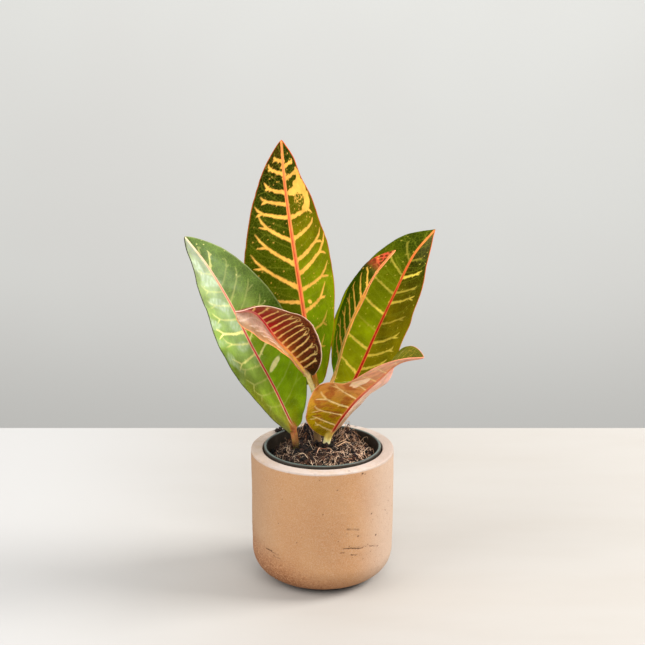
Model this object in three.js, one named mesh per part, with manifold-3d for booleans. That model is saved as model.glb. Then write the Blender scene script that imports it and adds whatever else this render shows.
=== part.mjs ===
// Potted croton: six long leaves on a short stem, rooted in soil in a small nursery pot
// that stands inside a thick round planter. Millimetres, +Z up. The origin is the centre
// of the planter's foot, on the surface it stands on. The leaves face -Y.
import * as THREE from 'three';
import { mergeVertices } from 'three/addons/utils/BufferGeometryUtils.js';
import Module from 'manifold-3d';

const wasm = await Module();
wasm.setup();

// ---------------------------------------------------------------- driving dimensions
const CLEARANCE = 0.3; // gap left between pieces that touch
const ROUND_SIDES = 40; // sides of the pots and the soil

const planter = {
  radius: 38,
  baseRadius: 37.6,
  height: 72.6,
  cornerRadius: 16, // round between the side and the underside
  footRadius: 21.5,
  footHeight: 1.5,
  openingRadius: 31.9,
  cavityFloorRadius: 29.5,
  floorLevel: 12,
  lipRound: 1,
};

const nurseryPot = {
  rimRadius: 31.2,
  rimTop: 74,
  rimHeight: 3.2,
  rimThickness: 1.6,
  neckRadius: 30.4,
  baseRadius: 23.5,
  wall: 1.2,
  floor: 1.6,
  holeRadius: 2,
  holeCircle: 16,
  holes: 6,
};

const soil = {
  edgeLevel: 66.8,
  moundHeight: 4.6,
  grain: 0.55, // height of the small unevenness
  rings: 9,
  clumps: [
    { at: [-9, 20], radius: 5.5, height: 7.5 },
    { at: [14, 18], radius: 6.5, height: 6.5 },
    { at: [8, -14], radius: 7, height: 1.6 },
    { at: [-16, -10], radius: 6, height: 1.4 },
  ],
};

const mainStem = {
  path: [
    [-3.6, 7.2, 42], [-2.8, 7.1, 70], [-2.7, 7.5, 82],
    [-2.4, 7.9, 91], [-2.8, 7.5, 98], [-3.6, 6.9, 104],
  ],
  footRadius: 2.2,
  topRadius: 1.6,
  budLength: 5.5,
  budTipRadius: 0.3,
};

const BLADE_THICKNESS = 0.7;
const BLADE_STATIONS = 22; // steps along a blade
const BLADE_ENDS = [0.006, 0.996]; // a blade's first and last station, as shares of its rib
const BLADE_COLUMNS = [0.38, 0.72, 1]; // places across half a blade, as shares of its width
const RIB_STANDS = [0.25, 0.75]; // rib height over and under the blade, by its half width
const RIB_MOST_SHARE = 0.3; // the rib takes at most this share of a narrow half

// Each leaf. rib: points of the midrib from the blade's base to its tip. turn and tilt: where
// the blade faces at its base, middle and tip, in degrees (turn 0 faces -Y, positive turns to
// +X; tilt is upwards). halfWidth: widest left and right of the rib. swell: how a half's
// width grows from the base and falls to the tip. fold: a half's rise from the rib, in degrees
// at base, middle and tip. cup: how much more each half bends up by its margin.
const leaves = {
  leaf_left: {
    rib: [
      [-15.5, 4, 81], [-25.5, 3, 104.5], [-37, 2, 128],
      [-48, 2, 151.5], [-59.5, 3, 171.5], [-71.5, 7, 186.5],
    ],
    turn: [45, 20, 40],
    tilt: [55, 40, 20],
    halfWidth: [28.5, 25],
    swellLeft: [0.45, 0.8],
    swellRight: [0.5, 0.75],
    foldLeft: [25, 25, 20],
    foldRight: [15, 12, 15],
    cup: [12, 2],
    wave: 0.35,
    waves: 5,
    ribRadius: [1.3, 0.4],
    petiole: [[-9.6, -1.6, 43], [-12.4, 1.1, 61], [-13.6, 2.2, 69]],
    petioleRadius: [1.5, 1.9],
    inSoil: true,
    colour: 0x5f8a3c,
  },
  leaf_centre: {
    rib: [
      [-3, 15, 102.5], [-7, 17, 124.5], [-11.5, 19, 154],
      [-16, 22, 183.5], [-19.5, 26, 209], [-21.5, 31, 232.5],
    ],
    turn: [-38, -32, -22],
    tilt: [-5, 40, 0],
    halfWidth: [30.5, 29.5],
    swellLeft: [0.4, 0.8],
    swellRight: [0.5, 0.85],
    foldLeft: [20, 15, 10],
    foldRight: [30, 20, 18],
    cup: [3, 10],
    wave: 0.5,
    waves: 6,
    ribRadius: [1.4, 0.5],
    petiole: [[-2.4, 7.9, 89.5], [-2.4, 11.4, 94]],
    petioleRadius: [1.3, 1.4],
    inSoil: false,
    colour: 0x4c5f12,
  },
  leaf_small_front: {
    rib: [
      [-7.5, 0, 112.5], [-16.5, -8, 127], [-24, -14, 137.5],
      [-31, -22, 150.5], [-36, -27.5, 156.5], [-44, -32.5, 158],
    ],
    turn: [15, 45, -5],
    tilt: [5, 15, -10],
    halfWidth: [15, 22.5],
    swellLeft: [0.9, 0.4],
    swellRight: [0.6, 0.5],
    foldLeft: [55, 45, 40],
    foldRight: [60, 55, 50],
    cup: [12, 18],
    wave: 0.4,
    waves: 4,
    ribRadius: [1, 0.4],
    petiole: [[-2.7, 7.6, 96.5], [-4.4, 4.9, 101.5]],
    petioleRadius: [1.05, 1],
    inSoil: false,
    colour: 0x5a1c10,
  },
  leaf_right_narrow: {
    rib: [[6, 4, 110.5], [12, 4, 133], [19.5, 5, 151.5], [28, 7, 167], [38, 10, 178.5]],
    turn: [-78, -78, -70],
    tilt: [10, 12, 10],
    halfWidth: [16.5, 16],
    swellLeft: [0.8, 0.85],
    swellRight: [0.75, 0.8],
    foldLeft: [8, 12, 25],
    foldRight: [12, 15, 25],
    cup: [0, 2],
    wave: 0.3,
    waves: 4,
    ribRadius: [1, 0.4],
    petiole: [[-2.5, 7.8, 93.5], [1, 6, 98.5]],
    petioleRadius: [1, 1],
    inSoil: false,
    colour: 0x50701a,
  },
  leaf_right: {
    rib: [
      [8.5, 18, 88.5], [18.5, 22, 105.5], [29.5, 28, 129],
      [39, 33, 148.5], [49, 37, 168.5], [60.5, 40, 182],
    ],
    turn: [0, -18, -4],
    tilt: [15, 22, 25],
    halfWidth: [25, 25],
    swellLeft: [1, 1],
    swellRight: [1.1, 1.2],
    foldLeft: [15, 7, 12],
    foldRight: [5, 38, 12],
    cup: [-2, 5],
    wave: 0.4,
    waves: 5,
    ribRadius: [1.2, 0.4],
    petiole: [[-2.5, 7.8, 79], [1.6, 11.5, 82.5]],
    petioleRadius: [1.2, 1.2],
    inSoil: false,
    colour: 0x5c6a18,
  },
  leaf_front: {
    rib: [
      [3, 2, 78], [10, -6, 92], [17.5, -14, 104.5],
      [28.5, -22, 118], [39, -30, 130], [51, -38, 135.5],
    ],
    turn: [36, 34, 65],
    tilt: [18, 18, -55],
    halfWidth: [29.5, 24.5],
    swellLeft: [0.75, 0.85],
    swellRight: [0.85, 0.85],
    foldLeft: [-12, 8, -35],
    foldRight: [-20, -45, -10],
    cup: [14, 3],
    wave: 0.4,
    waves: 4,
    ribRadius: [1.3, 0.4],
    petiole: [[2.2, 3.6, 45], [1.9, 3.8, 60], [1.5, 4.2, 69.5]],
    petioleRadius: [1.6, 1.9],
    inSoil: true,
    showsUnderside: true, // the face named by turn and tilt is the leaf's underside
    colour: 0xb87a2c,
  },
};

// ---------------------------------------------------------------- small helpers
const radians = THREE.MathUtils.degToRad;

const vectors = (points) => points.map((p) => new THREE.Vector3(...p));

const smoothCurve = (points) => new THREE.CatmullRomCurve3(vectors(points), false, 'catmullrom');

// A value that changes smoothly from base to middle to tip.
function alongLeaf(u, [base, middle, tip]) {
  return base * (1 - u) * (1 - 2 * u) + middle * 4 * u * (1 - u) + tip * u * (2 * u - 1);
}

function closedGeometry(positions, triangles) {
  const geometry = new THREE.BufferGeometry();
  geometry.setAttribute('position', new THREE.Float32BufferAttribute(positions, 3));
  geometry.setIndex(triangles);
  return geometry;
}

// One closed body from a three.js geometry: shared corners merged, flat triangles dropped.
function weld(geometry) {
  geometry.deleteAttribute('normal');
  geometry.deleteAttribute('uv');
  const merged = mergeVertices(geometry, 1e-4);
  const index = merged.index.array;
  const triangles = [];
  for (let i = 0; i < index.length; i += 3) {
    const [a, b, c] = [index[i], index[i + 1], index[i + 2]];
    if (a !== b && b !== c && c !== a) triangles.push(a, b, c);
  }
  return closedGeometry(Array.from(merged.attributes.position.array), triangles);
}

function toManifold(geometry) {
  const vertProperties = new Float32Array(geometry.attributes.position.array);
  const triVerts = new Uint32Array(geometry.index.array);
  return new wasm.Manifold(new wasm.Mesh({ numProp: 3, vertProperties, triVerts }));
}

function fromManifold(solid) {
  const mesh = solid.getMesh();
  return closedGeometry(Array.from(mesh.vertProperties), Array.from(mesh.triVerts));
}

const join = (a, b) => fromManifold(toManifold(a).add(toManifold(b)));

const cut = (body, tool) => fromManifold(toManifold(body).subtract(toManifold(tool)));

function piece(name, geometry, colour, roughness) {
  const material = new THREE.MeshStandardMaterial({ color: colour, roughness, metalness: 0 });
  const mesh = new THREE.Mesh(geometry, material);
  mesh.name = name;
  return mesh;
}

// A round stalk along a curve. radiusAt gives its radius at a share t of its length.
function stalk(curve, radiusAt, sides, steps) {
  const geometry = new THREE.CylinderGeometry(1, 1, 1, sides, steps);
  const frames = curve.computeFrenetFrames(steps, false);
  const corners = geometry.attributes.position;
  for (let i = 0; i < corners.count; i += 1) {
    const step = Math.round((corners.getY(i) + 0.5) * steps);
    const radius = radiusAt(step / steps);
    const point = curve.getPointAt(step / steps);
    point.addScaledVector(frames.normals[step], corners.getX(i) * radius);
    point.addScaledVector(frames.binormals[step], -corners.getZ(i) * radius);
    corners.setXYZ(i, point.x, point.y, point.z);
  }
  return weld(geometry);
}

// ---------------------------------------------------------------- pots
// A profile of radius and height turned about the Z axis.
function turned(profile) {
  const geometry = new THREE.LatheGeometry(profile, ROUND_SIDES);
  geometry.rotateX(Math.PI / 2);
  return weld(geometry);
}

function planterGeometry() {
  const p = planter;
  const bottom = p.footHeight;
  const profile = new THREE.Path();
  profile.moveTo(0, 0);
  profile.lineTo(p.footRadius, 0);
  profile.lineTo(p.footRadius, bottom);
  profile.absarc(p.baseRadius - p.cornerRadius, bottom + p.cornerRadius, p.cornerRadius, -Math.PI / 2, 0);
  profile.absarc(p.radius - p.lipRound, p.height - p.lipRound, p.lipRound, 0, Math.PI / 2);
  profile.absarc(p.openingRadius + p.lipRound, p.height - p.lipRound, p.lipRound, Math.PI / 2, Math.PI);
  profile.lineTo(p.cavityFloorRadius, p.floorLevel);
  profile.lineTo(0, p.floorLevel);
  return turned(profile.getPoints(3));
}

// Radius of the nursery pot's outer wall at a height.
function nurseryRadius(z) {
  const p = nurseryPot;
  const base = planter.floorLevel + CLEARANCE;
  const share = (z - base) / (p.rimTop - p.rimHeight - base);
  return THREE.MathUtils.lerp(p.baseRadius, p.neckRadius, share);
}

function nurseryPotGeometry() {
  const p = nurseryPot;
  const base = planter.floorLevel + CLEARANCE;
  const neck = p.rimTop - p.rimHeight;
  const inside = base + p.floor;
  const round = p.rimThickness / 2;
  const profile = new THREE.Path();
  profile.moveTo(0, base);
  profile.lineTo(p.baseRadius, base);
  profile.lineTo(p.neckRadius, neck);
  profile.lineTo(p.rimRadius, neck);
  profile.absarc(p.rimRadius - round, p.rimTop - round, round, 0, Math.PI);
  profile.lineTo(p.neckRadius - p.wall, neck - p.wall);
  profile.lineTo(nurseryRadius(inside) - p.wall, inside);
  profile.lineTo(0, inside);
  let pot = turned(profile.getPoints(2));
  for (let k = 0; k < p.holes; k += 1) {
    const angle = (2 * Math.PI * k) / p.holes;
    const hole = new THREE.CylinderGeometry(p.holeRadius, p.holeRadius, 3 * p.floor, 10);
    hole.rotateX(Math.PI / 2);
    hole.translate(p.holeCircle * Math.cos(angle), p.holeCircle * Math.sin(angle), base + p.floor / 2);
    pot = cut(pot, weld(hole));
  }
  return pot;
}

// ---------------------------------------------------------------- soil
function soilHeight(x, y) {
  const edge = nurseryRadius(soil.edgeLevel) - nurseryPot.wall - CLEARANCE;
  const share = Math.min(1, Math.hypot(x, y) / edge);
  let height = soil.moundHeight * (1 - share * share);
  for (const { at, radius, height: rise } of soil.clumps) {
    height += rise * Math.exp(-((x - at[0]) ** 2 + (y - at[1]) ** 2) / (0.5 * radius * radius));
  }
  const uneven = Math.sin(0.9 * x + 1.3) * Math.cos(0.8 * y - 0.4) + Math.sin(0.5 * x - 0.7 * y);
  return height + soil.grain * uneven;
}

function soilGeometry(stems) {
  const bottom = planter.floorLevel + CLEARANCE + nurseryPot.floor + CLEARANCE;
  const inner = (z) => nurseryRadius(z) - nurseryPot.wall - CLEARANCE;
  const edge = inner(soil.edgeLevel);
  const profile = [new THREE.Vector2(0, bottom), new THREE.Vector2(inner(bottom), bottom)];
  for (let ring = soil.rings; ring >= 0; ring -= 1) {
    profile.push(new THREE.Vector2((edge * ring) / soil.rings, soil.edgeLevel));
  }
  const geometry = turned(profile);
  const corners = geometry.attributes.position;
  for (let i = 0; i < corners.count; i += 1) {
    const [x, y] = [corners.getX(i), corners.getY(i)];
    if (Math.abs(corners.getZ(i) - soil.edgeLevel) > 1e-3) continue;
    corners.setZ(i, soil.edgeLevel + Math.max(-1, soilHeight(x, y)));
  }
  let body = geometry;
  for (const stem of stems) body = cut(body, stem);
  return body;
}

// ---------------------------------------------------------------- stem and leaves
function stemRadius(t, length) {
  const s = mainStem;
  const bud = s.budLength / length;
  if (t < 1 - bud) return THREE.MathUtils.lerp(s.footRadius, s.topRadius, t / (1 - bud));
  const up = (t - 1 + bud) / bud;
  return THREE.MathUtils.lerp(s.topRadius, s.budTipRadius, up * up);
}

// Moves a path's lower end down, so that a hole is deeper than the stem in it.
function deeper([foot, ...rest], depth) {
  return [[foot[0], foot[1], foot[2] - depth], ...rest];
}

function stemGeometry(extra) {
  const curve = smoothCurve(deeper(mainStem.path, extra));
  const length = curve.getLength();
  return stalk(curve, (t) => stemRadius(t, length) + extra, 10, 20);
}

function bladeWidth(u, [rise, fall]) {
  const widest = rise / (rise + fall);
  return (u / widest) ** rise * ((1 - u) / (1 - widest)) ** fall;
}

// Where a leaf's rib is at a share u of its length, and the ways out of the blade and right.
function leafFrame(leaf, curve, u) {
  const along = curve.getTangentAt(u);
  const turn = radians(alongLeaf(u, leaf.turn));
  const tilt = radians(alongLeaf(u, leaf.tilt));
  const level = Math.cos(tilt);
  const out = new THREE.Vector3(Math.sin(turn) * level, -Math.cos(turn) * level, Math.sin(tilt));
  out.addScaledVector(along, -out.dot(along)).normalize();
  const right = new THREE.Vector3().crossVectors(along, out);
  return { middle: curve.getPointAt(u), out, right };
}

const ribHalf = (leaf, u) => THREE.MathUtils.lerp(leaf.ribRadius[0], leaf.ribRadius[1], u);

// Points from the rib's edge to the margin on one side of a leaf (side -1 is left).
function halfBlade(leaf, frame, u, side) {
  const hand = side < 0 ? 0 : 1;
  const fold = alongLeaf(u, side < 0 ? leaf.foldLeft : leaf.foldRight);
  const width = leaf.halfWidth[hand] * bladeWidth(u, side < 0 ? leaf.swellLeft : leaf.swellRight);
  const ribEdge = Math.min(ribHalf(leaf, u) / width, RIB_MOST_SHARE);
  const point = frame.middle.clone();
  let reached = 0;
  return [ribEdge, ...BLADE_COLUMNS].map((share) => {
    const angle = radians(fold + (leaf.cup[hand] * (share + reached)) / 2);
    const step = (share - reached) * width;
    point.addScaledVector(frame.right, side * Math.cos(angle) * step);
    point.addScaledVector(frame.out, Math.sin(angle) * step);
    reached = share;
    const normal = frame.out.clone().multiplyScalar(Math.cos(angle));
    normal.addScaledVector(frame.right, -side * Math.sin(angle));
    const ripple = leaf.wave * share ** 2 * Math.sin(2 * Math.PI * leaf.waves * u + side);
    return { point: point.clone().addScaledVector(normal, ripple), normal, above: 0, below: 0 };
  });
}

// The leaf's blade as one closed body, its rib standing out of it.
function bladeGeometry(leaf) {
  const curve = smoothCurve(leaf.rib);
  const [ribAbove, ribBelow] = leaf.showsUnderside ? RIB_STANDS.toReversed() : RIB_STANDS;
  const faces = [[], []];
  for (let i = 0; i <= BLADE_STATIONS; i += 1) {
    const u = THREE.MathUtils.lerp(BLADE_ENDS[0], BLADE_ENDS[1], i / BLADE_STATIONS);
    const frame = leafFrame(leaf, curve, u);
    const rib = {
      point: frame.middle,
      normal: frame.out,
      above: ribAbove * ribHalf(leaf, u),
      below: ribBelow * ribHalf(leaf, u),
    };
    const row = [...halfBlade(leaf, frame, u, -1).reverse(), rib, ...halfBlade(leaf, frame, u, 1)];
    for (const { point, normal, above, below } of row) {
      faces[0].push(point.clone().addScaledVector(normal, BLADE_THICKNESS / 2 + above));
      faces[1].push(point.clone().addScaledVector(normal, -BLADE_THICKNESS / 2 - below));
    }
  }
  return closeBlade(faces, BLADE_STATIONS, 2 * (BLADE_COLUMNS.length + 1));
}

// Both faces of a blade split alike, and a narrow wall all round the margin.
function closeBlade(faces, stations, columns) {
  const perFace = faces[0].length;
  const at = (face, i, j) => face * perFace + i * (columns + 1) + j;
  const triangles = [];
  const quad = (a, b, c, d) => triangles.push(a, b, c, a, c, d);
  for (let i = 0; i < stations; i += 1) {
    for (let j = 0; j < columns; j += 1) {
      quad(at(0, i, j), at(0, i, j + 1), at(0, i + 1, j + 1), at(0, i + 1, j));
      triangles.push(at(1, i, j), at(1, i + 1, j + 1), at(1, i, j + 1));
      triangles.push(at(1, i, j), at(1, i + 1, j), at(1, i + 1, j + 1));
    }
    quad(at(1, i, 0), at(0, i, 0), at(0, i + 1, 0), at(1, i + 1, 0));
    quad(at(0, i, columns), at(1, i, columns), at(1, i + 1, columns), at(0, i + 1, columns));
  }
  for (let j = 0; j < columns; j += 1) {
    quad(at(1, 0, j), at(1, 0, j + 1), at(0, 0, j + 1), at(0, 0, j));
    quad(at(0, stations, j), at(0, stations, j + 1), at(1, stations, j + 1), at(1, stations, j));
  }
  return closedGeometry(faces.flat().flatMap((p) => p.toArray()), triangles);
}

// The petiole runs from the soil or the main stem into the blade's rib.
function petioleCurve(leaf, extra) {
  const rib = smoothCurve(leaf.rib);
  const entry = [0.004, 0.05].map((u) => rib.getPointAt(u).toArray());
  return smoothCurve([...deeper(leaf.petiole, extra), ...entry]);
}

function petioleGeometry(leaf, extra) {
  const [start, end] = leaf.petioleRadius;
  const radiusAt = (t) => THREE.MathUtils.lerp(start, end, t) + extra;
  return stalk(petioleCurve(leaf, extra), radiusAt, 8, leaf.inSoil ? 12 : 8);
}

function leafGeometry(leaf) {
  const petiole = petioleGeometry(leaf, 0);
  const freed = leaf.inSoil ? petiole : cut(petiole, stemGeometry(CLEARANCE));
  return join(freed, bladeGeometry(leaf));
}

// ---------------------------------------------------------------- the plant in its pots
const croton = new THREE.Group();
croton.name = 'potted_croton';

croton.add(piece('planter_pot', planterGeometry(), 0xd8b08a, 0.85));
croton.add(piece('nursery_pot', nurseryPotGeometry(), 0x2a302e, 0.45));

const holes = [stemGeometry(CLEARANCE)];
for (const leaf of Object.values(leaves)) {
  if (leaf.inSoil) holes.push(petioleGeometry(leaf, CLEARANCE));
}
croton.add(piece('soil', soilGeometry(holes), 0x2e1c14, 0.95));
croton.add(piece('main_stem', stemGeometry(0), 0x8a7a4a, 0.7));
for (const [name, leaf] of Object.entries(leaves)) {
  croton.add(piece(name, leafGeometry(leaf), leaf.colour, 0.4));
}

export default croton;
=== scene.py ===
"""The look of the potted croton: six veined leaves, their stem, the soil and the two pots.

Lengths are millimetres until a mesh is made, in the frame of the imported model: origin at the
centre of the planter's foot, +Z up, the leaves facing -Y.
"""
import math

import bmesh
import bpy
import numpy as np
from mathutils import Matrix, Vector


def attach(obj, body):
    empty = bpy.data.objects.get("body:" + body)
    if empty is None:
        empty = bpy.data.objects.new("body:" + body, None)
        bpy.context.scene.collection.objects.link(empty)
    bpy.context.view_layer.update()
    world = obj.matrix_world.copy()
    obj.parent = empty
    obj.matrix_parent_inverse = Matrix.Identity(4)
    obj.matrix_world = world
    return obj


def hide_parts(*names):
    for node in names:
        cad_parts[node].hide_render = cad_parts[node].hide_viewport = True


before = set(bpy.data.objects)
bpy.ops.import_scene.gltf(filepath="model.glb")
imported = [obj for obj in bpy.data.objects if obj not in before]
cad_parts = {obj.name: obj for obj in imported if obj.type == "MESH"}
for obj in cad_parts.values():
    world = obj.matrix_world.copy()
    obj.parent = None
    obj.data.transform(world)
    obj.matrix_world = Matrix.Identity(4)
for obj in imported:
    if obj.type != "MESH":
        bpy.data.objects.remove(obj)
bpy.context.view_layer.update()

MM = 0.001
BODY = "root"

# ---------------------------------------------------------------- the photograph's view
CAMERA_PLACE = (0, -932.36, 432.54)
CAMERA_PITCH = 17.3  # degrees downwards
CAMERA_FOCAL_PIXELS = 1872.7
PHOTO_PIXELS = 645
SENSOR_WIDTH = 36
TABLE_BACK_EDGE = 223


# ---------------------------------------------------------------- numbers and colours
def rgb(red, green, blue):
    """A linear colour from the 0 to 255 values that a screen shows."""
    share = np.array([red, green, blue]) / 255
    return np.where(share <= 0.04045, share / 12.92, ((share + 0.055) / 1.055) ** 2.4)


def smoothstep(low, high, value):
    t = np.clip((value - low) / (high - low), 0, 1)
    return t * t * (3 - 2 * t)


def mix(a, b, share):
    """Colours a and b mixed by a share for each place."""
    share = np.asarray(share)[..., None]
    return a * (1 - share) + b * share


def along_stops(u, stops):
    """The colour at u from (u, colour) stops."""
    places = [place for place, _ in stops]
    colours = np.array([colour for _, colour in stops])
    return np.stack([np.interp(u, places, colours[:, k]) for k in range(3)], -1)


def soft_noise(seed, size, *axes):
    """Smooth noise, mostly within -1 to 1, with features about `size` across."""
    waves = 14
    rng = np.random.default_rng(seed)
    total = 0
    for _ in range(waves):
        heading = rng.normal(size=len(axes))
        heading *= rng.uniform(0.6, 1.4) / np.linalg.norm(heading)
        phase = rng.uniform(0, 2 * np.pi)
        total = total + np.sin(sum(h * a for h, a in zip(heading, axes)) * np.pi / size + phase)
    return total * 0.6 * math.sqrt(2 / waves)


# ---------------------------------------------------------------- curves
CURVE_STEPS = 60


def smooth_curve(points):
    """Points of a Catmull-Rom curve, CURVE_STEPS to each stretch."""
    p = np.asarray(points, float)
    p = np.vstack([2 * p[0] - p[1], p, 2 * p[-1] - p[-2]])
    t = np.linspace(0, 1, CURVE_STEPS, endpoint=False)[:, None]
    stretches = []
    for a, b, c, d in zip(p, p[1:], p[2:], p[3:]):
        bent = (2 * a - 5 * b + 4 * c - d) * t**2 + (-a + 3 * b - 3 * c + d) * t**3
        stretches.append(0.5 * (2 * b + (c - a) * t + bent))
    return np.vstack(stretches + [p[-2:-1]])


def run_of(curve):
    """Distance along the curve at each of its points."""
    steps = np.linalg.norm(np.diff(curve, axis=0), axis=1)
    return np.concatenate([[0], np.cumsum(steps)])


def at_distances(curve, distances):
    run = run_of(curve)
    return np.stack([np.interp(distances, run, curve[:, k]) for k in range(3)], 1)


def unit(vectors):
    return vectors / np.linalg.norm(vectors, axis=-1, keepdims=True)


def directions(centre, blur):
    """The way along a row of points, averaged over `blur` rows to each side."""
    along = np.gradient(centre, axis=0)
    padded = np.pad(along, ((blur, blur), (0, 0)), mode="edge")
    rows = len(along)
    return unit(sum(padded[k : k + rows] for k in range(2 * blur + 1)))


# ---------------------------------------------------------------- meshes
def make_mesh(name, points, *face_sets):
    """A smooth mesh from points in millimetres and arrays of faces of 3 or 4 corners."""
    corners = np.concatenate([np.asarray(faces).ravel() for faces in face_sets]).astype(np.int32)
    sizes = np.concatenate([np.full(len(faces), np.shape(faces)[1]) for faces in face_sets])
    starts = np.concatenate([[0], np.cumsum(sizes)[:-1]]).astype(np.int32)
    mesh = bpy.data.meshes.new(name)
    mesh.vertices.add(len(points))
    mesh.vertices.foreach_set("co", (np.asarray(points) * MM).astype(np.float32).ravel())
    mesh.loops.add(len(corners))
    mesh.loops.foreach_set("vertex_index", corners)
    mesh.polygons.add(len(sizes))
    mesh.polygons.foreach_set("loop_start", starts)
    mesh.update(calc_edges=True)
    mesh.validate()
    mesh.shade_smooth()
    return mesh


def set_colours(mesh, name, colours):
    layer = mesh.attributes.new(name, "FLOAT_COLOR", "POINT")
    full = np.ones((len(mesh.vertices), 4), np.float32)
    full[:, :3] = np.clip(colours, 0, 1)
    layer.data.foreach_set("color", full.ravel())


def set_values(mesh, name, values):
    layer = mesh.attributes.new(name, "FLOAT", "POINT")
    layer.data.foreach_set("value", np.asarray(values, np.float32).ravel())


def add_piece(name, mesh, material, slot=None, replaces=None):
    piece = bpy.data.objects.new(name, mesh)
    bpy.context.scene.collection.objects.link(piece)
    mesh.materials.append(material)
    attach(piece, BODY)
    if replaces:
        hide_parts(replaces)
    return piece


def ring_faces(rows, columns):
    """Quads that join rows of `columns` points into a closed tube."""
    i, j = np.meshgrid(np.arange(rows - 1), np.arange(columns), indexing="ij")
    k = (j + 1) % columns
    quads = np.stack([i * columns + j, i * columns + k, (i + 1) * columns + k, (i + 1) * columns + j], -1)
    return quads.reshape(-1, 4)


def capped_tube(rings):
    """Points and faces of a closed body through rings of points, shape (rows, columns, 3)."""
    rows, columns, _ = rings.shape
    points = np.vstack([rings.reshape(-1, 3), rings[0].mean(0), rings[-1].mean(0)])
    j = np.arange(columns)
    k = (j + 1) % columns
    last = (rows - 1) * columns
    foot = np.stack([k, j, np.full(columns, rows * columns)], 1)
    top = np.stack([last + j, last + k, np.full(columns, rows * columns + 1)], 1)
    return points, ring_faces(rows, columns), np.vstack([foot, top])


def lathe(profile, sides):
    """Rings of points of a profile of (radius, height) turned about Z; the profile runs upwards outside."""
    angle = np.linspace(0, 2 * np.pi, sides, endpoint=False)
    radius, height = np.asarray(profile, float).T
    x = radius[:, None] * np.sin(angle)
    y = -radius[:, None] * np.cos(angle)
    z = np.repeat(height[:, None], sides, 1)
    return np.stack([x, y, z], -1), angle


def arc(centre, radius, start, end, steps):
    """Points (radius, height) of an arc in a profile, angles in degrees."""
    angle = np.radians(np.linspace(start, end, steps))
    return [(centre[0] + radius * math.cos(a), centre[1] + radius * math.sin(a)) for a in angle]


def spaced(profile, step):
    """The profile's points evenly spaced, `step` apart, its corners kept."""
    spread = [profile[0]]
    for a, b in zip(profile, profile[1:]):
        a, b = np.array(a), np.array(b)
        count = max(1, round(np.linalg.norm(b - a) / step))
        spread += [a + (b - a) * k / count for k in range(1, count + 1)]
    return np.array(spread)


# ---------------------------------------------------------------- materials
class Skin:
    """A material in the making: its shader, and the few kinds of node that the pieces need."""

    def __init__(self, name, **values):
        self.material = bpy.data.materials.new(name)
        self.material.use_nodes = True
        self.tree = self.material.node_tree
        self.shader = self.tree.nodes["Principled BSDF"]
        for socket, value in values.items():
            self.set(socket.replace("_", " ").title().replace("Ior", "IOR"), value)

    def set(self, socket, value):
        self.feed(self.shader.inputs[socket], value)

    def feed(self, socket, value):
        """Gives a socket the output of a node, a linear colour without alpha, or a plain value."""
        if isinstance(value, bpy.types.NodeSocket):
            self.tree.links.new(value, socket)
        elif isinstance(value, np.ndarray):
            socket.default_value = (*map(float, value), 1)
        else:
            socket.default_value = value

    def node(self, kind, inputs=None, **settings):
        """Adds a node and returns its outputs."""
        made = self.tree.nodes.new(kind)
        for name, value in settings.items():
            setattr(made, name, value)
        for name, value in (inputs or {}).items():
            self.feed(made.inputs[name], value)
        return made.outputs

    def place(self):
        """The object's own coordinates, in metres."""
        return self.node("ShaderNodeTexCoord")["Object"]

    def along(self, axis):
        """The object's own coordinate along X, Y or Z, in millimetres."""
        return self.times(self.node("ShaderNodeSeparateXYZ", {"Vector": self.place()})[axis], 1 / MM)

    def noise(self, feature, detail=4, roughness=0.55, stretch=(1, 1, 1)):
        """A noise value with features of a size in millimetres."""
        place = self.node("ShaderNodeMapping", {"Vector": self.place(), "Scale": stretch})["Vector"]
        settings = {"Scale": 1 / (feature * MM), "Detail": detail, "Roughness": roughness}
        return self.node("ShaderNodeTexNoise", {"Vector": place, **settings})["Fac"]

    def cell_edges(self, feature, width):
        """1 on the net of lines between cells of a size in millimetres, 0 inside them."""
        settings = {"Vector": self.place(), "Scale": 1 / (feature * MM)}
        cells = self.node("ShaderNodeTexVoronoi", settings, feature="DISTANCE_TO_EDGE")
        return self.ramp(cells["Distance"], 0, width, 1, 0)

    def ramp(self, value, low, high, start=0.0, end=1.0):
        """The value taken from low..high to start..end, and held beyond them."""
        settings = {"Value": value, "From Min": low, "From Max": high, "To Min": start, "To Max": end}
        return self.node("ShaderNodeMapRange", settings, interpolation_type="SMOOTHSTEP")["Result"]

    def speckle(self, low, high, start=0.0, end=1.0, **noise):
        """Noise taken through a ramp; the noise's own values go by name."""
        return self.ramp(self.noise(**noise), low, high, start, end)

    def times(self, a, b):
        return self.node("ShaderNodeMath", {0: a, 1: b}, operation="MULTIPLY")[0]

    def plus(self, a, b):
        return self.node("ShaderNodeMath", {0: a, 1: b}, operation="ADD")[0]

    def blend(self, a, b, share, weight=None, how="MIX"):
        """Colour a turned to b by a share, which a weight makes smaller."""
        if weight is not None:
            share = self.times(share, weight)
        return self.node("ShaderNodeMix", {0: share, 6: a, 7: b}, data_type="RGBA", blend_type=how)[2]

    def toned(self, colour, value):
        """The colour times a value."""
        grey = self.node("ShaderNodeCombineColor", {"Red": value, "Green": value, "Blue": value})["Color"]
        return self.blend(colour, grey, 1.0, how="MULTIPLY")

    def painted(self, name="pigment"):
        """Outputs of what the mesh carries under a name."""
        return self.node("ShaderNodeAttribute", attribute_name=name, attribute_type="GEOMETRY")

    def bump(self, height, depth):
        """Bump of a depth in millimetres."""
        settings = {"Height": height, "Distance": depth * MM, "Strength": 1.0}
        self.set("Normal", self.node("ShaderNodeBump", settings)["Normal"])


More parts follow.
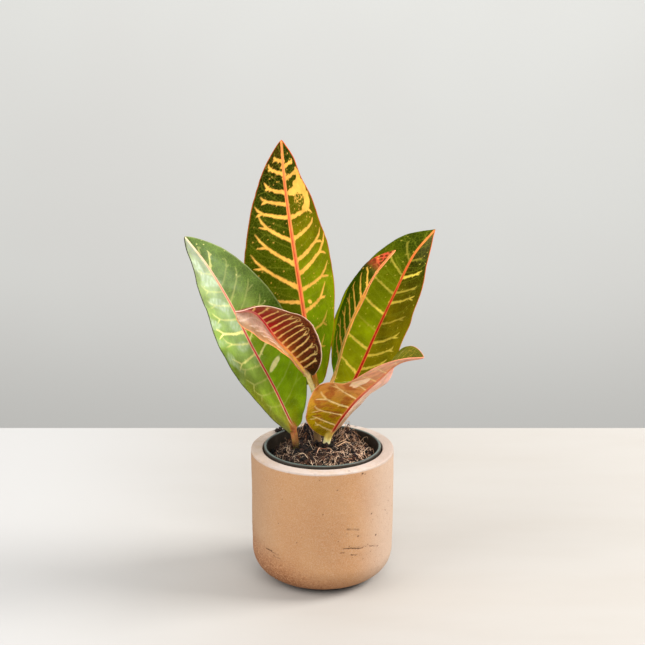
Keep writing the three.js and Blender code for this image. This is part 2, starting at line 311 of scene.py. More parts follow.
# ---------------------------------------------------------------- the leaves' shapes
RIB_START = 0.004  # share of the rib where the petiole turns into the blade
RIB_ENTRY = 0.05
STALK_STEP = 0.9
BLADE_STEP = 0.46
COLUMNS = 60  # to each side of the rib
COLUMN_CROWDING = 1.25  # more columns near the rib
BLADE_THICKNESS = 0.42
BLADE_GROWS_OVER = 8  # the stalk flattens into the blade over this length
STEM_RADIUS = 2

LEAVES = {
    "leaf_left": dict(
        rib=[
            (-15.5, 4, 81), (-25.5, 3, 104.5), (-37, 2, 128),
            (-48, 2, 151.5), (-59.5, 3, 171.5), (-71.5, 7, 186.5),
        ],
        turn=(45, 20, 40), tilt=(55, 40, 20),
        half_width=(28.5, 25), swell=((0.45, 0.8), (0.5, 0.75)),
        fold=((25, 25, 20), (15, 12, 15)), cup=(12, 2),
        wave=0.18, waves=5, rib_radius=(1.3, 0.4),
        petiole=[(-9.6, -1.6, 43), (-12.4, 1.1, 61), (-13.6, 2.2, 69)], petiole_radius=(1.5, 1.9),
    ),
    "leaf_centre": dict(
        rib=[
            (-3, 15, 102.5), (-7, 17, 124.5), (-11.5, 19, 154),
            (-16, 22, 183.5), (-19.5, 26, 209), (-21.5, 31, 232.5),
        ],
        turn=(-38, -32, -22), tilt=(-5, 40, 0),
        half_width=(30.5, 29.5), swell=((0.4, 0.8), (0.5, 0.85)),
        fold=((20, 15, 10), (30, 20, 18)), cup=(3, 10),
        wave=0.25, waves=6, rib_radius=(1.4, 0.5),
        petiole=[(-2.4, 7.9, 89.5), (-2.4, 11.4, 94)], petiole_radius=(1.3, 1.4),
    ),
    "leaf_small_front": dict(
        rib=[
            (-7.5, 0, 112.5), (-16.5, -8, 127), (-24, -14, 137.5),
            (-31, -22, 150.5), (-36, -27.5, 156.5), (-44, -32.5, 158),
        ],
        turn=(15, 45, -5), tilt=(5, 15, -10),
        half_width=(15, 22.5), swell=((0.9, 0.4), (0.6, 0.5)),
        fold=((55, 45, 40), (60, 55, 50)), cup=(12, 18),
        wave=0.12, waves=4, rib_radius=(1, 0.4),
        petiole=[(-2.7, 7.6, 96.5), (-4.4, 4.9, 101.5)], petiole_radius=(1.25, 1.3),
    ),
    "leaf_right_narrow": dict(
        rib=[(6, 4, 110.5), (12, 4, 133), (19.5, 5, 151.5), (28, 7, 167), (38, 10, 178.5)],
        turn=(-78, -78, -70), tilt=(10, 12, 10),
        half_width=(16.5, 16), swell=((0.8, 0.85), (0.75, 0.8)),
        fold=((8, 12, 25), (12, 15, 25)), cup=(0, 2),
        wave=0.15, waves=4, rib_radius=(1, 0.4),
        petiole=[(-2.5, 7.8, 93.5), (1, 6, 98.5)], petiole_radius=(1, 1),
    ),
    "leaf_right": dict(
        rib=[
            (8.5, 18, 88.5), (18.5, 22, 105.5), (29.5, 28, 129),
            (39, 33, 148.5), (49, 37, 168.5), (60.5, 40, 182),
        ],
        turn=(0, -18, -4), tilt=(15, 22, 25),
        half_width=(25, 25), swell=((1, 1), (1.1, 1.2)),
        fold=((15, 7, 12), (5, 38, 12)), cup=(-2, 5),
        wave=0.2, waves=5, rib_radius=(1.2, 0.4),
        petiole=[(-2.5, 7.8, 79), (1.6, 11.5, 82.5)], petiole_radius=(1.2, 1.2),
    ),
    "leaf_front": dict(
        rib=[
            (3, 2, 78), (10, -6, 92), (17.5, -14, 104.5),
            (28.5, -22, 118), (39, -30, 130), (51, -38, 135.5),
        ],
        turn=(36, 34, 65), tilt=(18, 18, -55),
        half_width=(29.5, 24.5), swell=((0.75, 0.85), (0.85, 0.85)),
        fold=((-12, 8, -35), (-20, -45, -10)), cup=(14, 3),
        wave=0.25, waves=4, rib_radius=(1.3, 0.4),
        petiole=[(2.2, 3.6, 45), (1.9, 3.8, 60), (1.5, 4.2, 69.5)], petiole_radius=(1.6, 1.9),
        shows_underside=True,
    ),
}


def along_leaf(u, values):
    """A value that changes smoothly from base to middle to tip."""
    base, middle, tip = values
    return base * (1 - u) * (1 - 2 * u) + middle * 4 * u * (1 - u) + tip * u * (2 * u - 1)


def blade_width(u, swell):
    rise, fall = swell
    widest = rise / (rise + fall)
    return (u / widest) ** rise * ((1 - u) / (1 - widest)) ** fall


class Leaf:
    """A leaf's rows along its petiole and rib, and its columns across, with their flat places.

    s is millimetres from the blade's base, negative in the petiole; x is millimetres from
    the rib, positive to the right; u and v are the same as shares of length and half width.
    """

    def __init__(self, name, shape, seed):
        self.name, self.shape, self.seed = name, shape, seed
        rib = smooth_curve(shape["rib"])
        self.length = run_of(rib)[-1]
        entry = at_distances(rib, [RIB_START * self.length, RIB_ENTRY * self.length])
        stalk = smooth_curve(np.vstack([shape["petiole"], entry]))[: -CURVE_STEPS]
        stalk_length = run_of(stalk)[-1]
        stalk_run = np.arange(0, stalk_length, STALK_STEP)
        rows = round(self.length / BLADE_STEP)
        blade_run = np.linspace(RIB_START, 1, rows) * self.length
        self.centre = np.vstack([at_distances(stalk, stalk_run), at_distances(rib, blade_run)])
        self.from_foot = np.concatenate([stalk_run, stalk_length + blade_run])
        self.row_s = np.concatenate([stalk_run - stalk_length, blade_run])
        self.row_u = np.clip(self.row_s / self.length, 0, 1)
        self.stalk_length = stalk_length
        t = np.linspace(-1, 1, 2 * COLUMNS + 1)
        self.column_v = np.sign(t) * np.abs(t) ** COLUMN_CROWDING
        self.set_frame()
        self.set_widths()
        self.s = np.repeat(self.row_s[:, None], len(t), 1)
        self.u = np.repeat(self.row_u[:, None], len(t), 1)
        self.v = np.repeat(self.column_v[None], len(self.row_s), 0)
        self.x = self.v * self.half_width
        self.uneven = self.noise(40, 1.3)  # of the edges of what is drawn on it

    def noise(self, seed, size, narrow=1):
        """Smooth noise over the blade, its own for each leaf."""
        return soft_noise(self.seed + seed, size, self.s, self.x * narrow)

    def set_frame(self):
        self.along = directions(self.centre, 6)
        turn = np.radians(along_leaf(self.row_u, self.shape["turn"]))
        tilt = np.radians(along_leaf(self.row_u, self.shape["tilt"]))
        level = np.cos(tilt)
        out = np.stack([np.sin(turn) * level, -np.cos(turn) * level, np.sin(tilt)], 1)
        out -= self.along * (out * self.along).sum(1, keepdims=True)
        self.out = unit(out)
        self.right = np.cross(self.along, self.out)

    def set_widths(self):
        """Radius of the stalk and rib, and half width of the whole to each side."""
        shape, s = self.shape, self.row_s
        share = np.clip(self.from_foot / self.stalk_length, 0, 1)
        stalk = shape["petiole_radius"][0] * (1 - share) + shape["petiole_radius"][1] * share
        if shape["petiole"][0][2] > 70:  # it leaves the stem: a swollen joint
            stalk = stalk * (1 + 0.55 * np.exp(-np.maximum(0, self.from_foot - STEM_RADIUS) / 2))
        rib = shape["rib_radius"][0] * (1 - self.row_u) + shape["rib_radius"][1] * self.row_u
        self.grown = smoothstep(-1, BLADE_GROWS_OVER, s)  # 0 in the stalk, 1 in the blade
        radius = stalk * (1 - self.grown) + rib * self.grown
        to_tip = np.clip((self.length - s) / 2.2, 0, 1)
        self.radius = radius * np.sqrt(np.clip(to_tip, 1e-4, 1))
        wide = []
        for hand in (0, 1):
            width = shape["half_width"][hand] * blade_width(self.row_u, shape["swell"][hand])
            width = np.where(s > 0, width, 0)
            uneven = 0.13 * soft_noise(self.seed + hand, 8, s) + 0.05 * soft_noise(self.seed + 7 + hand, 3, s)
            width = width + uneven * smoothstep(0, 12, width)
            wide.append(np.sqrt(width**2 + self.radius**2))
        left = self.column_v < 0
        self.half_width = np.where(left[None], wide[0][:, None], wide[1][:, None])

    def surface(self, relief):
        """The leaf's middle sheet and its normals; relief is how far each place stands out of the blade, in
        mm.
        """
        shape = self.shape
        v, x = self.v, self.x
        middle = COLUMNS
        open_share = smoothstep(0.8, 3, self.half_width / self.radius[:, None])
        angle = np.zeros_like(v)
        for hand, side in enumerate((-1, 1)):
            fold = along_leaf(self.row_u, shape["fold"][hand])[:, None]
            near = smoothstep(0, 1.6, np.abs(x) / self.radius[:, None])
            full = np.radians(fold * near + shape["cup"][hand] * np.abs(v)) * open_share
            angle = np.where(v * side > 0, full * side, angle)
        # side steps: from each column to the next, outwards from the rib
        points = np.repeat(self.centre[:, None], v.shape[1], 1)
        step = np.diff(x, axis=1)[..., None]
        bend = ((angle[:, 1:] + angle[:, :-1]) / 2)[..., None]
        moves = step * (np.cos(bend) * self.right[:, None] + np.sin(bend) * self.out[:, None])
        points[:, middle + 1 :] += np.cumsum(moves[:, middle:], 1)
        points[:, :middle] -= np.cumsum(moves[:, :middle][:, ::-1], 1)[:, ::-1]
        normal = np.cos(angle)[..., None] * self.out[:, None] - np.sin(angle)[..., None] * self.right[:, None]
        ripple = shape["wave"] * v**2 * np.sin(2 * np.pi * shape["waves"] * self.u + np.sign(v))
        offset = (ripple + relief) * self.grown[:, None] * smoothstep(0, 6, self.length - self.s)
        return points + normal * offset[..., None], normal

    def rings(self, relief, thickening):
        """Closed rings of points round the leaf, upper face first, from the left margin."""
        points, normal = self.surface(relief)
        radius = self.radius[:, None]
        bulge = np.sqrt(np.maximum(0, radius**2 - self.x**2))
        grown = self.grown[:, None]
        stands = (0.75, 0.25) if self.shape.get("shows_underside") else (0.25, 0.75)
        to_margin = smoothstep(0, 0.035, 1 - np.abs(self.v))
        thin = BLADE_THICKNESS / 2 * (0.35 + 0.65 * to_margin) * grown
        thin = np.where(np.abs(self.v) == 1, 0, thin)
        front = thin + bulge * (1 + (stands[0] - 1) * grown)
        back = thin + bulge * (1 + (stands[1] - 1) * grown) + thickening * grown
        back = np.where(np.abs(self.v) == 1, 0, back)
        upper = points + normal * front[..., None]
        lower = points - normal * back[..., None]
        return np.concatenate([upper, lower[:, -2:0:-1]], 1)

    def spot(self, u, v):
        """The flat place, in mm along and across, of shares of length and of half width."""
        column = 0 if v < 0 else -1
        width = np.interp(u * self.length, self.row_s, self.half_width[:, column])
        return np.array([u * self.length, v * width])

    def both_faces(self, front, back):
        """Values of the two faces' places in the order of the rings, with the end points."""
        both = np.concatenate([front, back[:, -2:0:-1]], 1)
        flat = both.reshape(-1, *front.shape[2:])
        return np.concatenate([flat, both[:1, 0], both[-1:, 0]])


# ---------------------------------------------------------------- the leaves' colours
LINE_BLUR = 0.22
SIDES = ((-1, "left"), (1, "right"))


def cover_lines(leaf, lines):
    """How much of each place is covered by lines: (points in mm along and across, half widths)."""
    cover = np.zeros_like(leaf.s)
    for points, halves in lines:
        reach = max(halves) + LINE_BLUR
        low, high = points[:, 0].min() - reach, points[:, 0].max() + reach
        first, last = np.searchsorted(leaf.row_s, [low, high])
        if last <= first:
            continue
        s, x = leaf.s[first:last], leaf.x[first:last]
        for a, b, start, end in zip(points, points[1:], halves, halves[1:]):
            way = b - a
            size = max(way @ way, 1e-9)
            t = np.clip(((s - a[0]) * way[0] + (x - a[1]) * way[1]) / size, 0, 1)
            gap = np.hypot(s - a[0] - t * way[0], x - a[1] - t * way[1])
            half = (start + (end - start) * t) * (1 + 0.16 * leaf.uneven[first:last])
            part = smoothstep(-LINE_BLUR, LINE_BLUR, half - gap)
            cover[first:last] = np.maximum(cover[first:last], part)
    return cover


def vein_lines(leaf, veins, side, rng, halves, fork=1.0, spurs=2):
    """The lines and the strength of each side vein: a stem that forks near its end, with spurs."""
    for start, end, reach, strength in veins:
        at_start, at_end = np.array([start * leaf.length, 0]), leaf.spot(end, side * reach)
        way = at_end - at_start
        forks_at = at_start + way * rng.uniform(0.7, 0.8) + (rng.normal(0, 0.25), 0)
        bend = at_start + (forks_at - at_start) * (0.42, 0.55)
        t = np.linspace(0, 1, 12)[:, None]
        main = (1 - t) ** 2 * at_start + 2 * t * (1 - t) * bend + t**2 * forks_at
        main[1:-1] += rng.normal(0, 0.1, (10, 2))
        thick = np.linspace(halves[0], halves[1], 12) * (1 + rng.normal(0, 0.1, 12))
        thick[:3] *= (1.3, 1.15, 1.05)
        lines = [(main, thick * (0.6 + 0.4 * strength))]
        out = abs(way[1])
        tips = (
            at_end + (rng.uniform(0.08, 0.18) * out * fork + 0.4, -side * rng.uniform(0, 0.8)),
            at_end + (-rng.uniform(0.05, 0.14) * out * fork - 0.4, side * rng.uniform(-1, 0.6)),
        )
        for tip in tips:
            if rng.uniform() > 0.9:
                continue
            mid = (forks_at + tip) / 2 + (0, side * rng.uniform(0.2, 0.9)) + rng.normal(0, 0.2, 2)
            lines.append((np.array([forks_at, mid, tip]), np.array([halves[1], halves[1] * 0.8, 0.16])))
        for _ in range(spurs):
            k = rng.integers(3, 11)
            tip = main[k] + (rng.choice([-1, 1]) * rng.uniform(0.6, 1.5), side * rng.uniform(0.2, 1.2))
            lines.append((np.array([main[k], tip]), np.array([thick[k] * 0.6, 0.12])))
        yield lines, strength


def cover_veins(leaf, veins, side, rng, **look):
    """Coverage of a half's side veins, fainter where their strength is low."""
    cover = np.zeros_like(leaf.s)
    for lines, strength in vein_lines(leaf, veins, side, rng, **look):
        cover = np.maximum(cover, cover_lines(leaf, lines) * strength)
    return cover


def cover_dots(leaf, count, sizes, rng):
    """Small round speckles, drawn at random over the blade."""
    cover = np.zeros_like(leaf.s)
    for _ in range(count):
        u, v, radius = rng.uniform(0.08, 0.95), rng.uniform(0.08, 0.97), rng.uniform(*sizes)
        s, x = leaf.spot(u, v * rng.choice((-1, 1)))
        first, last = np.searchsorted(leaf.row_s, [s - 2, s + 2])
        gap = np.hypot(leaf.s[first:last] - s, leaf.x[first:last] - x)
        part = smoothstep(-LINE_BLUR, LINE_BLUR, radius - gap)
        cover[first:last] = np.maximum(cover[first:last], part)
    return cover


def cover_oval(leaf, u, v, along, across, lean=0.0, ragged=0.0, seed=0):
    """An oval patch centred at (u, v), with half sizes in mm; lean tips it towards the tip."""
    s, x = leaf.spot(u, v)
    ds, dx = leaf.s - s, leaf.x - x
    turned_s = ds * math.cos(lean) + dx * math.sin(lean)
    turned_x = -ds * math.sin(lean) + dx * math.cos(lean)
    gap = np.hypot(turned_s / along, turned_x / across)
    gap = gap + ragged * soft_noise(seed, 2.2, leaf.s, leaf.x)
    soft = LINE_BLUR / min(along, across)
    return smoothstep(1 + soft, 1 - soft, gap)


def stops(*rows):
    """Colours along a leaf, from rows of (share of its length, red, green, blue)."""
    return [(row[0], rgb(*row[1:])) for row in rows]


def every(first, last, count, way, reach, strength=1.0):
    """Veins of one kind, evenly spread; each runs `way` further along by its end."""
    return [(start, start + way, reach, strength) for start in np.linspace(first, last, count)]


# Each leaf's colours. left, right, back: the two halves of the face that shows, and the other
# face; the _edge ones are the halves' outer parts. veins: (start u, end u, end |v|, strength).
# vein_left and margin_left are for the left half alone; loops joins the ends of veins in twos.
# Widths and halves are in mm, rib_band at the base and at the tip; speckles is a count.
PAINT = {
    "leaf_left": dict(
        # the pale, greyish tones of both halves towards the tip are partly painted sheen, a reflection of the
        # lamps painted over the leaf's green
        left=stops((0, 130, 105, 20), (0.2, 140, 170, 35), (0.55, 135, 160, 100), (1, 150, 155, 140)),
        left_edge=stops((0, 85, 80, 5), (0.3, 90, 95, 10), (0.5, 125, 155, 60), (1, 125, 130, 105)),
        right=stops((0, 125, 125, 5), (0.25, 135, 174, 2), (0.5, 118, 138, 30), (0.75, 110, 130, 80),
                    (1, 65, 85, 30)),
        right_edge=stops((0, 110, 130, 2), (0.25, 145, 185, 2), (0.55, 55, 75, 5), (0.8, 90, 110, 50)),
        back=stops((0, 107, 116, 53), (1, 93, 107, 62)),
        rib=stops((0, 165, 40, 50), (0.2, 205, 22, 60), (0.55, 205, 60, 75), (0.75, 220, 130, 115),
                  (1, 230, 212, 175)),
        rib_edge=rgb(240, 200, 160), rib_band=(1.15, 0.48),
        margin=rgb(130, 140, 90), margin_left=rgb(30, 24, 14), margin_width=0.55,
        vein=rgb(244, 234, 150), vein_halves=(0.74, 0.46), fork=1.2,
        faint=rgb(160, 195, 80), network=0.14,
        veins_left=[(0.13, 0.2, 0.75, 0.15), (0.2, 0.27, 0.78, 0.2), (0.27, 0.33, 0.78, 0.3),
                    (0.34, 0.4, 0.72, 0.3), (0.395, 0.425, 0.76, 0.65), (0.45, 0.53, 0.75, 0.5),
                    (0.505, 0.585, 0.86, 1), (0.57, 0.65, 0.8, 0.4), (0.64, 0.71, 0.78, 0.3),
                    (0.71, 0.77, 0.75, 0.25), (0.8, 0.84, 0.7, 0.2)],
        veins_right=[(0.12, 0.2, 0.8, 0.12), (0.2, 0.29, 0.8, 0.15), (0.28, 0.37, 0.8, 0.15),
                     (0.37, 0.42, 0.36, 0.9), (0.46, 0.5, 0.22, 0.6), (0.5, 0.6, 0.75, 0.2),
                     (0.58, 0.68, 0.75, 0.15), (0.65, 0.75, 0.7, 0.2), (0.73, 0.81, 0.7, 0.15),
                     (0.82, 0.885, 0.45, 0.55), (0.9, 0.925, 0.3, 0.2)],
        petiole=stops((0.76, 50, 30, 20), (0.84, 130, 80, 48), (0.93, 165, 102, 60), (1, 165, 84, 50)),
        speckles=16,
    ),
    "leaf_centre": dict(
        left=stops((0, 90, 92, 2), (0.4, 72, 84, 0), (0.85, 28, 36, 0), (1, 62, 46, 2)),
        # the bright yellow-green low on the right half is painted light shining through the blade from
        # behind, over the leaf's own green
        right=stops((0, 150, 160, 5), (0.2, 108, 138, 2), (0.4, 118, 135, 2), (0.65, 105, 100, 0),
                    (0.88, 38, 48, 2)),
        back=stops((0, 107, 105, 44), (1, 93, 82, 37)),
        rib=stops((0, 220, 110, 62), (0.5, 242, 125, 78), (1, 248, 152, 88)),
        rib_core=rgb(205, 40, 35), rib_edge=rgb(245, 150, 75), rib_band=(1.9, 0.7),
        margin=rgb(185, 75, 25), margin_width=0.4,
        vein=rgb(252, 186, 84), vein_halves=(1.12, 0.7), fork=1.4,
        faint=rgb(160, 160, 50), network=0.3,
        veins_left=[(0.1, 0.18, 0.75, 0.8), (0.18, 0.26, 0.8, 0.9), (0.265, 0.33, 0.8, 0.9),
                    (0.345, 0.37, 0.7, 1), (0.405, 0.535, 0.85, 1), (0.5, 0.615, 0.8, 1),
                    (0.595, 0.685, 0.77, 1), (0.69, 0.725, 0.87, 1), (0.745, 0.77, 0.77, 0.95),
                    (0.79, 0.82, 0.75, 0.9), (0.865, 0.89, 0.8, 0.9), (0.915, 0.925, 0.65, 0.8)],
        veins_right=[(0.12, 0.2, 0.7, 0.45), (0.215, 0.3, 0.75, 0.5), (0.305, 0.4, 0.73, 0.95),
                     (0.395, 0.485, 0.9, 0.85), (0.46, 0.585, 0.96, 1), (0.515, 0.625, 0.9, 1),
                     (0.605, 0.67, 0.77, 1), (0.69, 0.73, 0.87, 1), (0.785, 0.835, 0.75, 0.9),
                     (0.845, 0.875, 0.83, 0.9), (0.895, 0.915, 0.73, 0.9)],
        petiole=stops((0, 150, 140, 60), (1, 190, 130, 60)),
        speckles=170,
    ),
    "leaf_small_front": dict(
        # The left half's pale pink-tan, with its pale veins and margin, is a painted reflection of the lamps
        # on the gloss over the maroon leaf.
        left=stops((0, 200, 150, 60), (0.3, 250, 212, 120), (0.6, 250, 200, 178), (1, 205, 180, 155)),
        left_edge=stops((0, 215, 185, 100), (0.4, 175, 120, 60), (1, 155, 125, 95)),
        right=stops((0, 42, 24, 3), (0.4, 92, 32, 6), (0.75, 128, 28, 20), (1, 158, 84, 54)),
        right_edge=stops((0, 34, 20, 2), (0.5, 80, 28, 6), (1, 165, 86, 54)),
        back=stops((0, 134, 84, 44), (1, 134, 66, 53)),
        rib=stops((0, 255, 215, 100), (0.25, 255, 190, 80), (0.45, 252, 140, 80), (0.6, 225, 20, 60),
                  (0.75, 226, 60, 90), (1, 230, 175, 160)),
        rib_edge=rgb(252, 165, 125), rib_band=(1.3, 0.7),
        margin=rgb(255, 212, 190), margin_left=rgb(238, 150, 92), margin_width=0.42,
        vein=rgb(255, 222, 136), vein_left=rgb(255, 228, 205), vein_halves=(0.56, 0.34), fork=0.35,
        faint=rgb(185, 90, 50), network=0.35, spurs=0, loops=0.5,
        veins_left=every(0.02, 0.6, 8, 0.38, 0.75, 0.6),
        veins_right=every(0.09, 0.85, 13, 0.075, 0.8, 0.9),
        petiole=stops((0, 250, 238, 180), (1, 255, 222, 150)),
    ),
    "leaf_right_narrow": dict(
        # the bright green at the base of the left half is painted light shining through the blade from
        # behind, over the leaf's own green
        left=stops((0, 125, 180, 5), (0.35, 68, 110, 2), (0.75, 48, 66, 0), (1, 105, 65, 50)),
        right=stops((0, 250, 228, 110), (0.5, 240, 165, 60), (0.85, 150, 66, 36), (1, 80, 60, 10)),
        back=stops((0, 111, 120, 39), (1, 107, 98, 35)),
        rib=stops((0, 250, 225, 140), (0.35, 255, 205, 110), (0.6, 252, 140, 70), (1, 226, 60, 45)),
        rib_edge=rgb(255, 208, 125), rib_band=(1.05, 0.62),
        margin=rgb(236, 140, 92), margin_left=rgb(66, 74, 10), margin_width=0.32,
        vein=rgb(255, 196, 84), vein_halves=(0.85, 0.42), fork=0.8,
        faint=rgb(140, 140, 40), network=0.3,
        veins_left=every(0.14, 0.68, 7, 0.13, 0.8),
        veins_right=every(0.2, 0.8, 6, 0.1, 0.78, 0.8),
        petiole=stops((0, 205, 150, 90), (1, 240, 180, 105)),
        speckles=40,
    ),
    "leaf_right": dict(
        # the bright yellow-green low on both halves is painted light shining through the blade from behind,
        # over the leaf's own green
        left=stops((0, 160, 150, 5), (0.4, 150, 165, 2), (0.65, 112, 122, 2), (0.85, 56, 68, 2)),
        right=stops((0, 145, 135, 2), (0.5, 125, 112, 2), (0.8, 48, 52, 2), (1, 85, 80, 45)),
        back=stops((0, 107, 114, 39), (1, 102, 93, 35)),
        rib=stops((0, 175, 15, 22), (0.4, 205, 25, 32), (0.65, 222, 62, 40), (0.85, 240, 125, 60),
                  (1, 245, 155, 85)),
        rib_edge=rgb(245, 130, 62), rib_band=(1.15, 0.55),
        margin=rgb(196, 84, 30), margin_left=rgb(70, 84, 12), margin_width=0.3,
        vein=rgb(255, 226, 92), vein_halves=(0.82, 0.52), fork=0.4,
        faint=rgb(170, 180, 50), network=0.3,
        veins_left=[(0.19, 0.235, 0.76, 1), (0.32, 0.37, 0.78, 1), (0.42, 0.47, 0.7, 0.2),
                    (0.51, 0.56, 0.75, 0.9), (0.62, 0.67, 0.75, 0.5), (0.72, 0.79, 0.75, 0.45),
                    (0.8, 0.87, 0.6, 0.25)],
        veins_right=[(0.15, 0.24, 0.75, 0.5), (0.22, 0.31, 0.75, 0.75), (0.29, 0.38, 0.8, 0.75),
                     (0.36, 0.45, 0.8, 0.75), (0.46, 0.54, 0.75, 0.45), (0.575, 0.65, 0.8, 0.8),
                     (0.63, 0.7, 0.75, 0.5), (0.71, 0.78, 0.78, 1), (0.8, 0.85, 0.6, 0.2)],
        petiole=stops((0, 150, 130, 50), (1, 170, 90, 40)),
        speckles=70,
    ),
    "leaf_front": dict(
        left=stops((0, 150, 115, 0), (0.18, 180, 148, 0), (0.32, 186, 134, 10), (0.55, 216, 140, 88),
                   (1, 220, 168, 148)),
        left_edge=stops((0, 140, 118, 0), (0.25, 184, 150, 0), (0.45, 212, 138, 60), (1, 220, 168, 148)),
        right=stops((0, 160, 120, 80), (0.3, 240, 200, 180), (0.6, 205, 140, 125), (1, 165, 80, 95)),
        back=stops((0, 84, 107, 21), (0.6, 100, 112, 8), (1, 82, 80, 14)),
        rib=stops((0, 165, 10, 22), (0.28, 175, 14, 28), (0.42, 195, 80, 66), (0.6, 215, 125, 105),
                  (1, 215, 145, 120)),
        rib_edge=rgb(230, 135, 85), rib_band=(1.1, 0.45),
        margin=rgb(228, 140, 112), margin_width=0.4,
        vein=rgb(255, 226, 158), vein_halves=(0.46, 0.26), fork=0.55,
        faint=rgb(225, 180, 70), network=0.3,
        veins_left=[(0.06, 0.15, 0.8, 0.7), (0.12, 0.22, 0.85, 1), (0.22, 0.31, 0.85, 1),
                    (0.31, 0.4, 0.85, 1), (0.4, 0.5, 0.8, 0.9), (0.5, 0.6, 0.8, 0.7),
                    (0.6, 0.7, 0.8, 0.6), (0.7, 0.79, 0.75, 0.6), (0.8, 0.88, 0.7, 0.5)],
        veins_right=every(0.12, 0.72, 6, 0.085, 0.78, 0.6),
        petiole=stops((0.76, 90, 60, 30), (0.82, 225, 180, 90), (0.9, 255, 244, 190), (1, 250, 220, 110)),
    ),
}


BLOTCH_OVALS = [  # u, v, half length, half width in mm, lean
    (0.812, 0.68, 5.6, 4.6, -0.2), (0.848, 0.8, 5.2, 1.9, -0.22),
    (0.79, 0.32, 2.0, 4.6, 0.15), (0.752, 0.76, 5.4, 2.2, 0.15), (0.728, 0.6, 2.6, 1.6, 0.7),
]


def centre_blotch(leaf, colour):
    """The big yellow patch on the tall leaf's right half, with its netted hole, and a round spot."""
    patch = 0 * leaf.s
    for k, (u, v, half_length, half_width, lean) in enumerate(BLOTCH_OVALS):
        oval = cover_oval(leaf, u, v, half_length, half_width, lean, ragged=0.14, seed=31 + k)
        patch = np.maximum(patch, oval)
    speckled = smoothstep(0.05, 0.5, np.abs(soft_noise(37, 1.5, leaf.s, leaf.x)))
    hole = cover_oval(leaf, 0.764, 0.46, 3.4, 3.0, lean=0.2, ragged=0.3, seed=38)
    patch = np.maximum(patch * (1 - hole), 0.85 * hole * (1 - speckled))
    spot = cover_oval(leaf, 0.353, 0.22, 1.15, 1.7)
    return mix(colour, rgb(250, 188, 84), np.maximum(patch * leaf.grown[:, None], spot))


def painted_sheen_and_pale_oval(leaf, colour):
    """The left leaf's painted sheen, a whitish mottled reflection of the lamps painted over its left half,
    and the pale oval on its right half.
    """
    place = smoothstep(0.3, 0.5, leaf.u) * smoothstep(0.55, -0.2, leaf.v)
    # painted sheen: a whitish reflection of the lamps on the waxy skin
    painted_sheen = smoothstep(-0.1, 0.9, soft_noise(42, 6, leaf.s, leaf.x * 0.8)) * place
    fine = smoothstep(-0.6, 0.8, soft_noise(43, 1.4, leaf.s, leaf.x))
    colour = mix(colour, rgb(206, 222, 204), 0.42 * painted_sheen * (0.5 + 0.5 * fine))
    spot = cover_oval(leaf, 0.306, 0.28, 4.8, 1.5, lean=1.12, ragged=0.06, seed=41)
    return mix(colour, rgb(255, 246, 180), spot)


def front_patches(leaf, colour):
    """Dark orange patches and brown specks on the front leaf's underside, and a pale one."""
    toward_rib = smoothstep(0.0, 0.12, np.abs(leaf.v)) * (leaf.v < 0)
    place = smoothstep(0.1, 0.22, leaf.u) * smoothstep(0.66, 0.5, leaf.u)
    dark = smoothstep(-0.2, 0.5, soft_noise(51, 2.6, leaf.s, leaf.x * 0.5)) * toward_rib * place
    colour = mix(colour, rgb(160, 74, 30), 0.7 * dark)
    pink = smoothstep(0.2, 0.9, soft_noise(53, 4, leaf.s, leaf.x * 0.6)) * smoothstep(0.5, 0.65, leaf.u)
    colour = mix(colour, rgb(205, 120, 100), 0.4 * pink)
    pale = cover_oval(leaf, 0.575, -0.33, 6.4, 4.2, ragged=0.12, seed=52)
    colour = mix(colour, rgb(255, 214, 178), pale)
    specks = smoothstep(0.55, 0.9, soft_noise(54, 0.75, leaf.s, leaf.x)) * smoothstep(0.45, 0.2, leaf.u)
    return mix(colour, rgb(104, 64, 4), 0.8 * specks)


def small_halo(leaf, colour):
    """Glow beside the small leaf's rib, orange low and pink high, and specks at its upper margin."""
    right = leaf.x > 0
    glow = stops((0, 240, 145, 25), (0.4, 252, 135, 60), (0.6, 228, 6, 48), (1, 218, 50, 78))
    tone = along_stops(leaf.u, glow)
    near = np.exp(-np.maximum(0, leaf.x) / 2.3) * right * smoothstep(0.1, 0.2, leaf.u)
    colour = mix(colour, tone, 0.8 * near)
    flush = np.exp(-(((leaf.u - 0.6) / 0.05) ** 2)) * np.exp(-np.maximum(0, leaf.x) / 4) * right
    colour = mix(colour, rgb(222, 4, 42), 0.85 * flush)
    specks = smoothstep(0.5, 0.8, soft_noise(64, 0.8, leaf.s, leaf.x)) * smoothstep(0.55, 0.8, leaf.v)
    specks = specks * smoothstep(0.2, 0.4, leaf.u)
    return mix(colour, rgb(205, 120, 40), 0.5 * specks)


def narrow_tip(leaf, colour):
    """Orange net with dark holes at the narrow leaf's tip."""
    place = smoothstep(0.79, 0.88, leaf.u)
    colour = mix(colour, rgb(218, 86, 58), place * 0.9)
    holes = smoothstep(0.16, 0.42, np.abs(soft_noise(61, 2.2, leaf.s, leaf.x)))
    return mix(colour, rgb(84, 36, 8), place * holes * (leaf.v < 0) * 0.9)


def looped_ends(leaf, veins, side):
    """Arcs that join the ends of neighbouring veins two by two."""
    lines = []
    for (_, end, reach, _), (_, next_end, next_reach, _) in zip(veins[1::3], veins[2::3]):
        a, b = leaf.spot(end, side * reach), leaf.spot(next_end, side * next_reach)
        turn = np.linspace(0, np.pi, 9)[:, None]
        round_end = (a + b) / 2 - (b - a) / 2 * np.cos(turn) + np.array([0.3, side * 1.3]) * np.sin(turn)
        lines.append((round_end, np.full(9, 0.2)))
    return cover_lines(leaf, lines)


EXTRAS = {
    "leaf_left": painted_sheen_and_pale_oval,
    "leaf_centre": centre_blotch,
    "leaf_small_front": small_halo,
    "leaf_right_narrow": narrow_tip,
    "leaf_front": front_patches,
}


